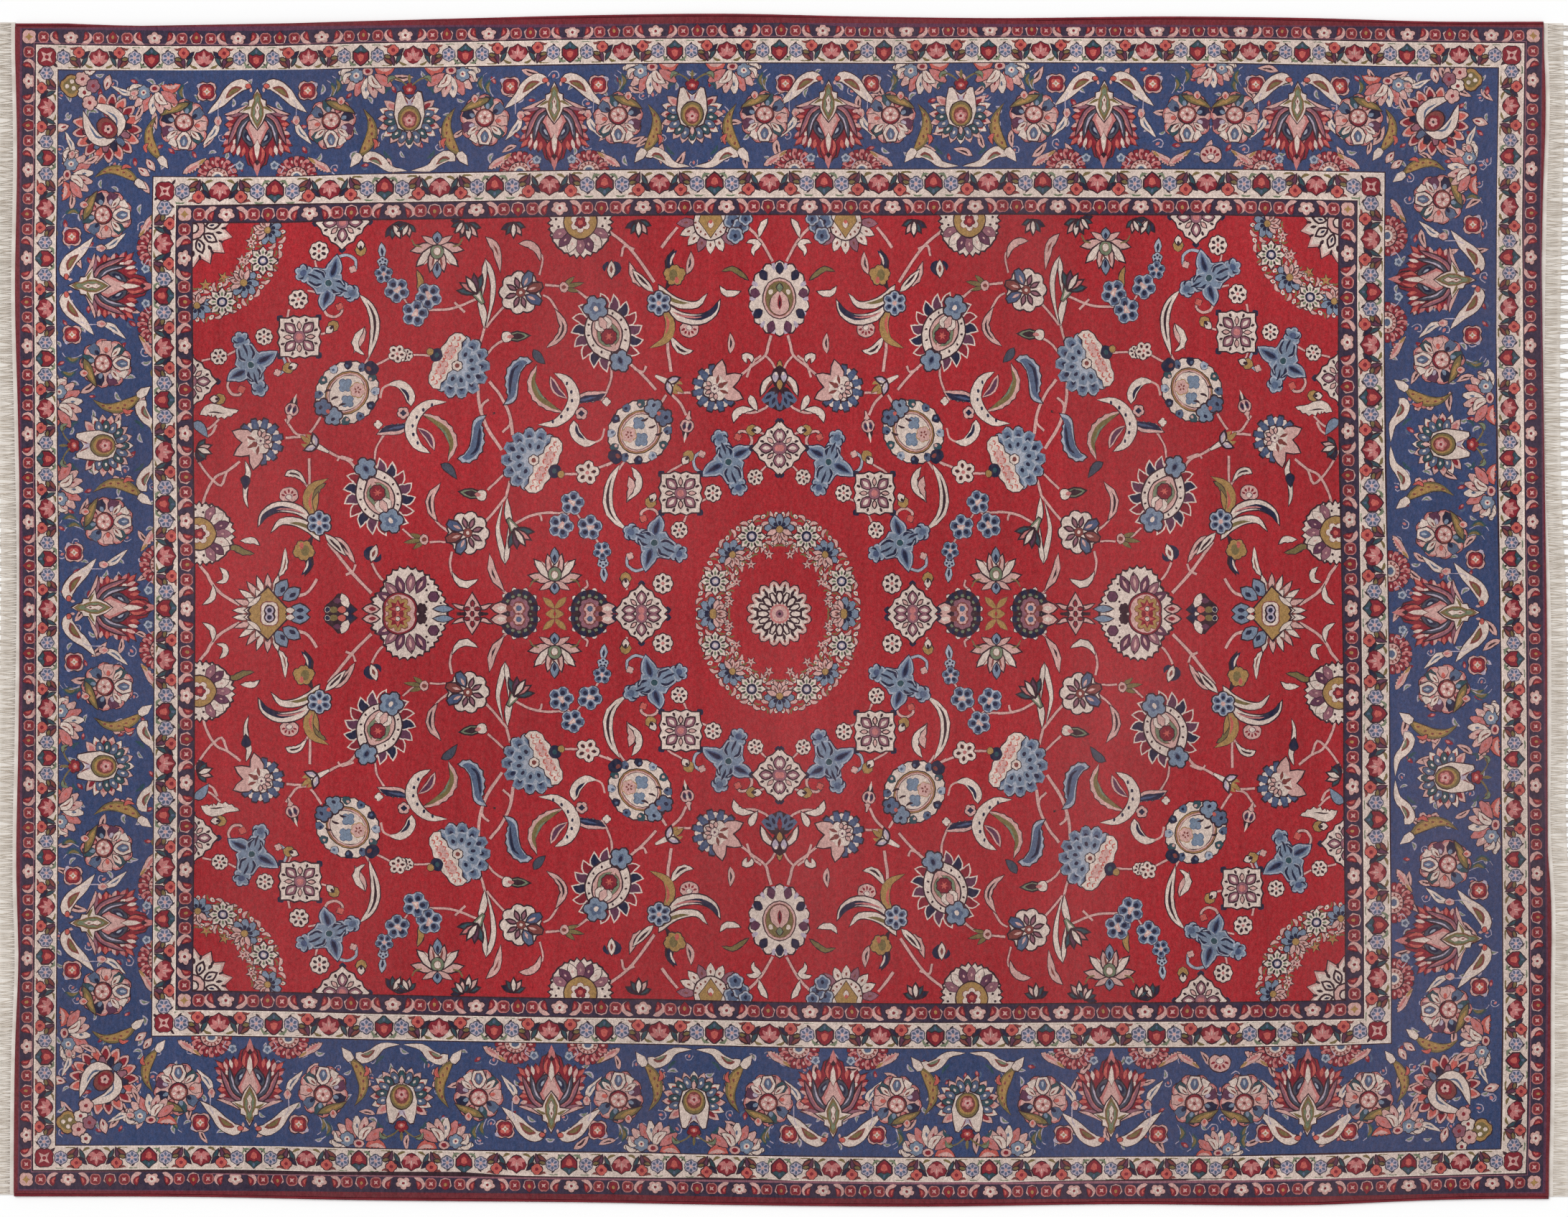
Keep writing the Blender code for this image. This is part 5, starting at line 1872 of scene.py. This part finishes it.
def ring(dye, outer, inner):
    """The four bars between two boxes."""
    left, top, right, bottom = outer
    return [
        box_area(dye, (left, top, right, inner[1])), box_area(dye, (left, inner[3], right, bottom)),
        box_area(dye, (left, top, inner[0], bottom)), box_area(dye, (inner[2], top, right, bottom)),
    ]


def inset(box, by):
    return box[0] + by, box[1] + by, box[2] - by, box[3] - by


def fine_line(dye, box, at, wide):
    """A fine line all round, this far inside the box."""
    return ring(dye, inset(box, at), inset(box, at + wide))


# The fine lines between the bands, in knots.
DARK_LINE = 1.5
PALE_LINE = 1.6


def frame_areas():
    """Every area outside the field, from the lowest to the topmost."""
    guards = [to_plan(guard_areas(*guard)) for guard in GUARDS]
    areas = [box_area("border", BLUE)]
    areas += to_plan(border_areas())
    areas += ring("ivory", IVORY_OUT, BLUE)
    areas += ring("chain", CHAIN_OUT, IVORY_OUT)
    # The outermost band, in its red darkened with painted shade.
    areas += ring("edge", PILE_PLAN, CHAIN_OUT)
    areas += [box_area("ivory", IVORY_IN), box_area("chain", CHAIN_IN)]
    for guard in guards:
        areas += guard
    for box, dark_in in ((BLUE, True), (IVORY_IN, False), (IVORY_OUT, False), (CHAIN_IN, True)):
        areas += fine_line("outline", box, 0 if dark_in else -DARK_LINE, DARK_LINE)
        areas += fine_line("cream", box, -PALE_LINE if dark_in else 0, PALE_LINE)
    areas += fine_line("plum", CHAIN_OUT, -2.4, 2.4)
    areas += fine_line("mauve", IVORY_OUT, -3.2, 0.9)
    areas += fine_line("outline", FIELD, -1.8, 1.8)
    return areas


def field_half(quarter, row):
    """The quarter's cut plan, turned over the middle lines into both quarters of the half at this row."""
    points, triangles, dyes = quarter
    share = (PHOTO_MIDDLE - points) / (PHOTO_MIDDLE[0] - FIELD[0], PHOTO_MIDDLE[1] - FIELD[1])
    plans = []
    for column in (FIELD[0], FIELD[2]):
        reach = (column - PHOTO_MIDDLE[0], row - PHOTO_MIDDLE[1])
        plans.append((PHOTO_MIDDLE + share * reach, triangles, dyes))
    return plans


class Shade:
    """A value in a shader. Expressions on it add Math nodes."""

    def __init__(self, finish, socket):
        self.finish, self.socket = finish, socket

    def maths(self, operation, *values):
        return self.finish.node("Math", {"operation": operation}, dict(enumerate(values)))

    def __add__(self, other):
        return self.maths("ADD", self, other)

    def __sub__(self, other):
        return self.maths("SUBTRACT", self, other)

    def __mul__(self, other):
        return self.maths("MULTIPLY", self, other)

    def __radd__(self, other):
        return self.maths("ADD", other, self)

    def __rsub__(self, other):
        return self.maths("SUBTRACT", other, self)

    def __rmul__(self, other):
        return self.maths("MULTIPLY", other, self)


class Finish:
    """One material and the nodes that make it."""

    def __init__(self, name, **sockets):
        self.material = bpy.data.materials.new(name)
        self.material.use_nodes = True
        self.tree = self.material.node_tree
        self.shader = self.tree.nodes["Principled BSDF"]
        self.give(self.shader, sockets)

    def give(self, node, sockets):
        for key, value in sockets.items():
            key = key.replace("_", " ") if isinstance(key, str) else key
            if isinstance(value, Shade):
                self.tree.links.new(value.socket, node.inputs[key])
            else:
                node.inputs[key].default_value = value

    def node(self, kind, settings=None, sockets=None, output=0):
        made = self.tree.nodes.new("ShaderNode" + kind)
        for key, value in (settings or {}).items():
            setattr(made, key, value)
        self.give(made, sockets or {})
        return Shade(self, made.outputs[output])

    def places(self, x=1, y=1, z=0):
        """Object coordinates, stretched by these three numbers."""
        spot = self.node("TexCoord", output=3)
        return self.node("VectorMath", {"operation": "MULTIPLY"}, {0: spot, 1: (x, y, z)})

    def noise(self, scale, detail, stretch=(1, 1, 0)):
        sockets = {"Vector": self.places(*stretch), "Scale": scale, "Detail": detail}
        return self.node("TexNoise", {}, sockets)

    def waves(self, way, scale, distortion=0.0, stretch=(1, 1, 0)):
        """Even ribs, one after another along this way."""
        sockets = {"Vector": self.places(*stretch), "Scale": scale, "Distortion": distortion}
        return self.node("TexWave", {"bands_direction": way}, sockets)

    def span(self, value, low, high, to_low=0, to_high=1):
        return self.node("MapRange", {}, {0: value, 1: low, 2: high, 3: to_low, 4: to_high})

    def mixed(self, factor, first, second, blend="MIX"):
        settings = {"data_type": "RGBA", "blend_type": blend}
        return self.node("Mix", settings, {0: factor, 6: first, 7: second}, 2)

    def painted(self, colour):
        self.give(self.shader, {"Base Color": colour})

    def bump(self, height, distance, strength):
        relief = self.node("Bump", {}, {"Height": height, "Distance": distance, "Strength": strength})
        self.give(self.shader, {"Normal": relief})


def paint(*display):
    """A shader's colour from display values."""
    return (*linear(display), 1)


# A wave node has a rib to about two knots, and a pick to a little less, at one over this.
RIB_SCALE = KNOT * 6.28
PICK_SCALE = KNOT * 5.2


def knotted_wool():
    """Clipped wool pile, its dye in the mesh, with knots, uneven dyeing, a soft sheen, and fading with a
    painted light falloff, lighter towards the far side.
    """
    sheen = {"Sheen_Weight": 0.12, "Sheen_Roughness": 0.5}
    wool = Finish("knotted_wool", Roughness=0.92, Specular_IOR_Level=0.15, **sheen)
    dye = wool.node("Attribute", {"attribute_name": "dye"})
    cells = {"Vector": wool.places(), "Scale": 1 / KNOT, "Randomness": 0.55}
    knots, tuft = (wool.node("TexVoronoi", {}, cells, k) for k in range(2))
    lot = wool.node("SeparateColor", {}, {"Color": tuft})
    yarn = wool.span(lot, 0, 1, 0.76, 1.2)
    grain = wool.span(wool.noise(0.3 / KNOT, 2, (1, 0.6, 0)), 0.3, 0.7, 0.82, 1.16)
    rows = wool.span(wool.noise(1, 3, (38, 1.6, 0)), 0.3, 0.7, 0.9, 1.08)
    clouds = wool.span(wool.noise(1.7, 3), 0.3, 0.7, 0.9, 1.08)
    east, north = (wool.node("SeparateXYZ", {}, {"Vector": wool.places(1, 1, 1)}, k) for k in range(2))
    # Lighter towards the far side and a little towards the left: painted light falloff, together with the
    # carpet's uneven fading.
    fading_and_painted_falloff = 0.95 + 0.055 * north - 0.012 * east
    light = yarn * grain * rows * clouds * fading_and_painted_falloff
    shade = wool.node("CombineColor", {}, {k: light for k in range(3)})
    old = wool.span(wool.noise(1.1, 4, (1.6, 0.7, 0)), 0.45, 0.75, 0, 0.12)
    worn = old + wool.span(wool.noise(0.2 / KNOT, 3, (1, 0.5, 0)), 0.4, 0.8, 0, 0.1)
    wool.painted(wool.mixed(worn, wool.mixed(1.0, dye, shade, "MULTIPLY"), paint(150, 118, 116)))
    wool.bump((1 - knots * 0.8) + wool.noise(1800, 2) * 0.5, 0.0009, 0.55)
    return wool.material


def foundation_cotton():
    """The carpet's back: knots between the wefts, madder red with cotton showing."""
    back = Finish("foundation_cotton", Roughness=0.95, Specular_IOR_Level=0.1)
    wefts = back.waves("X", 1 / RIB_SCALE)
    back.painted(back.mixed(back.span(wefts, 0.2, 0.9), paint(150, 60, 62), paint(190, 150, 136)))
    back.bump(wefts, 0.0006, 0.6)
    return back.material


def wrapped_wool():
    """Crimson yarn wound round the edge cord, turn beside turn, with painted shade in the grooves between
    the turns.
    """
    sheen = {"Sheen_Weight": 0.15, "Sheen_Roughness": 0.4}
    wrap = Finish("wrapped_wool", Roughness=0.85, Specular_IOR_Level=0.2, **sheen)
    turns = wrap.waves("X", 95, 0.6, (1, 0.35, 0.35))
    patch = wrap.span(wrap.noise(14, 3, (1, 0, 0)), 0.35, 0.65)
    bright = wrap.mixed(patch, paint(108, 32, 42), paint(134, 43, 52))
    # Painted shade: the grooves between the turns, where the bump is lowest, are mixed towards a dark
    # crimson.
    wrap.painted(wrap.mixed(wrap.span(turns, 0, 0.5, 0.45, 0), bright, paint(74, 22, 32)))
    wrap.bump(turns, 0.0008, 0.8)
    return wrap.material


def woven_cotton():
    """The flat end web: warps along the carpet, crossed by close wefts, with painted shade in the hollows
    between them.
    """
    web = Finish("woven_cotton", Roughness=0.9, Sheen_Weight=0.08, Specular_IOR_Level=0.15)
    ribs = web.waves("Y", 1 / RIB_SCALE, 0.5)
    picks = web.waves("X", 1 / PICK_SCALE, 0.5)
    base = web.mixed(web.span(web.noise(22, 3), 0.3, 0.7), paint(208, 199, 190), paint(236, 230, 223))
    # Painted shade: darker in the hollows between the threads, where the ribs and picks dip.
    web.painted(web.mixed(web.span(ribs * picks, 0, 0.4, 0.14, 0), base, paint(170, 154, 138)))
    web.bump(ribs + picks * 0.6, 0.0006, 0.4)
    return web.material


def fringe_cotton():
    """Loose warp ends, two plies twisted together, with painted shade in the grooves of the twist."""
    yarn = Finish("fringe_cotton", Roughness=0.85, Sheen_Weight=0.1, Specular_IOR_Level=0.2)
    twist = yarn.waves("DIAGONAL", 150, 1.0, (1, 1, 1))
    patch = yarn.span(yarn.noise(30, 3), 0.3, 0.7)
    base = yarn.mixed(patch, paint(206, 193, 178), paint(230, 222, 212))
    # Painted shade: darker in the grooves of the twist, where the bump is lowest.
    yarn.painted(yarn.mixed(yarn.span(twist, 0, 0.5, 0.25, 0), base, paint(170, 152, 134)))
    yarn.bump(twist, 0.0004, 0.7)
    return yarn.material


def pale_floor():
    floor = Finish("pale_floor", Roughness=0.9, Specular_IOR_Level=0.1)
    floor.painted((0.97, 0.97, 0.97, 1))
    return floor.material


def tube(line, radii, sides):
    """Points and faces of a closed round tube along a line."""
    line = np.asarray(line, float)
    way = np.gradient(line, axis=0)
    way /= np.linalg.norm(way, axis=1)[:, None]
    side = np.cross(way, (0, 0, 1.0))
    side /= np.linalg.norm(side, axis=1)[:, None]
    up = np.cross(side, way)
    angle = np.arange(sides) * 2 * math.pi / sides
    points = [
        p + r * (s * math.cos(a) + u * math.sin(a))
        for p, s, u, r in zip(line, side, up, radii)
        for a in angle
    ]
    faces = []
    for row in range(len(line) - 1):
        for k in range(sides):
            a, b = row * sides + k, row * sides + (k + 1) % sides
            faces.append((a, b, b + sides, a + sides))
    faces.append(list(range(sides))[::-1])
    faces.append([len(points) - sides + k for k in range(sides)])
    return points, faces


def joined(pieces):
    """Several (points, faces) as one."""
    points, faces = [], []
    for more, their in pieces:
        faces += [[k + len(points) for k in face] for face in their]
        points += list(more)
    return points, faces


def outline_loop():
    """The carpet's outline in plan knots, anticlockwise seen from above."""
    left, top, right, bottom = PILE_PLAN
    across = np.linspace(left, right, OUTLINE_STEPS[0] + 1)
    down = np.linspace(top, bottom, OUTLINE_STEPS[1] + 1)
    loop = [(x, bottom) for x in across[:-1]] + [(right, y) for y in down[:0:-1]]
    return loop + [(x, top) for x in across[:0:-1]] + [(left, y) for y in down[:-1]]


def foundation(material):
    loop = laid(outline_loop())
    count = len(loop)
    under = [(x, y, BACK_LOW) for x, y in loop]
    over = [(x, y, PILE_ROOT + BACK_LAP) for x, y in loop]
    faces = [list(range(count))[::-1], list(range(count, 2 * count))]
    faces += [(k, (k + 1) % count, count + (k + 1) % count, count + k) for k in range(count)]
    return mesh_object("foundation", under + over, faces, material, smooth_shaded=False)


def selvedge(name, row, side, material):
    """The wool-wrapped cord beside a long edge; side is 1 beyond the far one, -1 beyond the near one."""
    along = np.linspace(PILE_PLAN[0], PILE_PLAN[2], CORD_STATIONS)
    places = laid(np.column_stack([along, np.full(len(along), row)]))
    rng = random.Random(5)
    swell = np.array([1 - CORD_THINNER * rng.random() for _ in along])
    line = [(x, y + side * (CORD_RADIUS + CORD_GAP), CORD_RADIUS + CORD_LIFT) for x, y in places]
    return mesh_object(name, *tube(line, CORD_RADIUS * swell, CORD_SIDES), material)


def end_line(side, y, beyond):
    """X at the carpet's end, this far beyond the last knots."""
    plan_y = PILE_IN_PHOTO[1] + (pile_high.y - y) / KNOT_Y
    x = edge_at("right" if side > 0 else "left", plan_y)
    return floor_point(x, 0)[0] + side * beyond


# The web's rows, from the last knots outwards: share of its depth, rise in metres.
WEB_ROWS = ((0, 0), (0.30, 0.0002), (0.62, 0), (0.90, 0.0001), (1, -0.0008))


def web(name, side, low, high, material):
    """The flat-woven strip past the last knots, a thin closed sheet."""
    rng = random.Random(11 + side)
    points = []
    for y in np.linspace(low, high, WEB_STATIONS):
        ragged = WEB_RAGGED * rng.random()
        for share, rise in WEB_ROWS:
            deep = max(share * (WEB_DEEP - ragged), WEB_SEAM)
            points.append((end_line(side, y, deep), y, WEB_THICK + rise))
    count = len(WEB_ROWS)
    top = [
        (a * count + k, (a + 1) * count + k, (a + 1) * count + k + 1, a * count + k + 1)
        for a in range(WEB_STATIONS - 1) for k in range(count - 1)
    ]
    top = np.array([face[::-1] if side > 0 else face for face in top])
    under = [(x, y, WEB_LOW) for x, y, _ in points]
    bottom = top[:, ::-1] + len(points)
    ends, _ = open_edges(np.vstack([top[:, [0, 1, 2]], top[:, [0, 2, 3]]]))
    rims = np.column_stack([ends[:, ::-1], ends + len(points)])
    faces = np.vstack([top, bottom, rims])
    return mesh_object(name, points + under, faces, material, smooth_shaded=False)


def fringe(name, side, low, high, material):
    """Knotted locks of loose warp ends lying out from the web."""
    rng = random.Random(23 + side)
    pitch = (high - low) / LOCKS
    pieces = []
    for lock in range(LOCKS):
        middle = low + (lock + 0.5) * pitch
        length = LOCK_LENGTH - LOCK_SHORTER * rng.random()
        lean = LOCK_LEAN * rng.uniform(-1, 1)
        for yarn in range(YARNS):
            at = (yarn + 0.5) / YARNS * 2 - 1
            own = length * (1 - YARN_SHORTER * rng.random())
            kink, phase = YARN_KINK * rng.uniform(0.3, 1), rng.uniform(0, 6)
            line = []
            for share in np.linspace(0, 1, YARN_STATIONS):
                half = pitch * (0.5 - LOCK_GATHERED * share)
                y = middle + at * half + lean * share + kink * math.sin(7 * share + phase)
                x = end_line(side, y, WEB_BARE + own * share)
                bed = np.interp(share, (0, 0.32, 0.46), (WEB_THICK, WEB_THICK, WEB_LOW))
                line.append((x, y, bed + YARN_RADIUS * (1 + 0.8 * (yarn % 2) * share)))
            radii = YARN_RADIUS * np.linspace(1, YARN_TIP, YARN_STATIONS)
            pieces.append(tube(line, radii, YARN_SIDES))
    return mesh_object(name, *joined(pieces), material)


def add_camera():
    """The camera, straight above the photograph's middle."""
    camera = bpy.data.cameras.new("camera")
    camera.sensor_width = 36
    camera.lens = camera.sensor_width * CAMERA_HEIGHT / (PHOTO_SIZE[0] * KNOT)
    camera.clip_end = 60
    placed = bpy.data.objects.new("camera", camera)
    placed.location = (*floor_point(PHOTO_SIZE[0] / 2, PHOTO_SIZE[1] / 2), PILE_TOP + CAMERA_HEIGHT)
    bpy.context.scene.collection.objects.link(placed)
    bpy.context.scene.camera = placed


def add_light():
    """Even light from all round, with a wide soft light from the far left."""
    world = bpy.data.worlds.new("studio")
    world.use_nodes = True
    studio = world.node_tree.nodes["Background"].inputs
    studio["Color"].default_value = (1, 1, 1, 1)
    studio["Strength"].default_value = STUDIO_STRENGTH
    bpy.context.scene.world = world
    lamp = bpy.data.lights.new("softbox", "SUN")
    lamp.energy = SUN_STRENGTH
    lamp.angle = math.radians(SUN_SPREAD)
    placed = bpy.data.objects.new("softbox", lamp)
    placed.rotation_euler = [math.radians(tilt) for tilt in SUN_TILT]
    bpy.context.scene.collection.objects.link(placed)
    bpy.context.scene.view_settings.view_transform = "Standard"


def add_floor():
    half = FLOOR_SIZE / 2
    corners = [(-half, -half, 0), (half, -half, 0), (half, half, 0), (-half, half, 0)]
    floor = mesh_object("floor", corners, [(0, 1, 2, 3)], pale_floor())


add_camera()
add_light()
add_floor()

# The border's pieces, four boxes round the field. Columns: name, left, top, right, bottom.
BORDER_PIECES = (
    ("pile_border_far", PILE_PLAN[0], PILE_PLAN[1], PILE_PLAN[2], FIELD[1]),
    ("pile_border_near", PILE_PLAN[0], FIELD[3], PILE_PLAN[2], PILE_PLAN[3]),
    ("pile_border_left", PILE_PLAN[0], FIELD[1], FIELD[0], FIELD[3]),
    ("pile_border_right", FIELD[2], FIELD[1], PILE_PLAN[2], FIELD[3]),
)
wool = knotted_wool()
drawn = frame_areas()
pile = []
for name, *box in BORDER_PIECES:
    pile.append(pile_piece(name, [cut(box, "field", drawn)], wool))

quarter = cut((FIELD[0], FIELD[1], *PHOTO_MIDDLE), "field", to_plan(field_areas()))
for name, row in (("pile_field_far", FIELD[1]), ("pile_field_near", FIELD[3])):
    pile.append(pile_piece(name, field_half(quarter, row), wool))

back = foundation(foundation_cotton())
wrap = wrapped_wool()
cords = [
    selvedge("wrapped_selvedge_far", PILE_PLAN[1], 1, wrap),
    selvedge("wrapped_selvedge_near", PILE_PLAN[3], -1, wrap),
]
cotton, loose = woven_cotton(), fringe_cotton()
webs, fringes = [], []
for name, side in (("left", -1), ("right", 1)):
    low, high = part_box("fringe_" + name)
    webs.append(web("web_" + name, side, low.y, high.y, cotton))
    fringes.append(fringe("locks_" + name, side, low.y, high.y, loose))
    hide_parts("fringe_" + name)
    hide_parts("fringe_" + name)

for piece in pile + [back]:
    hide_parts("pile_carpet")
for piece, name in zip(cords, ("selvedge_far", "selvedge_near")):
    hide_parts(name)
for piece in pile + [back] + cords + webs + fringes:
    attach(piece, "root")
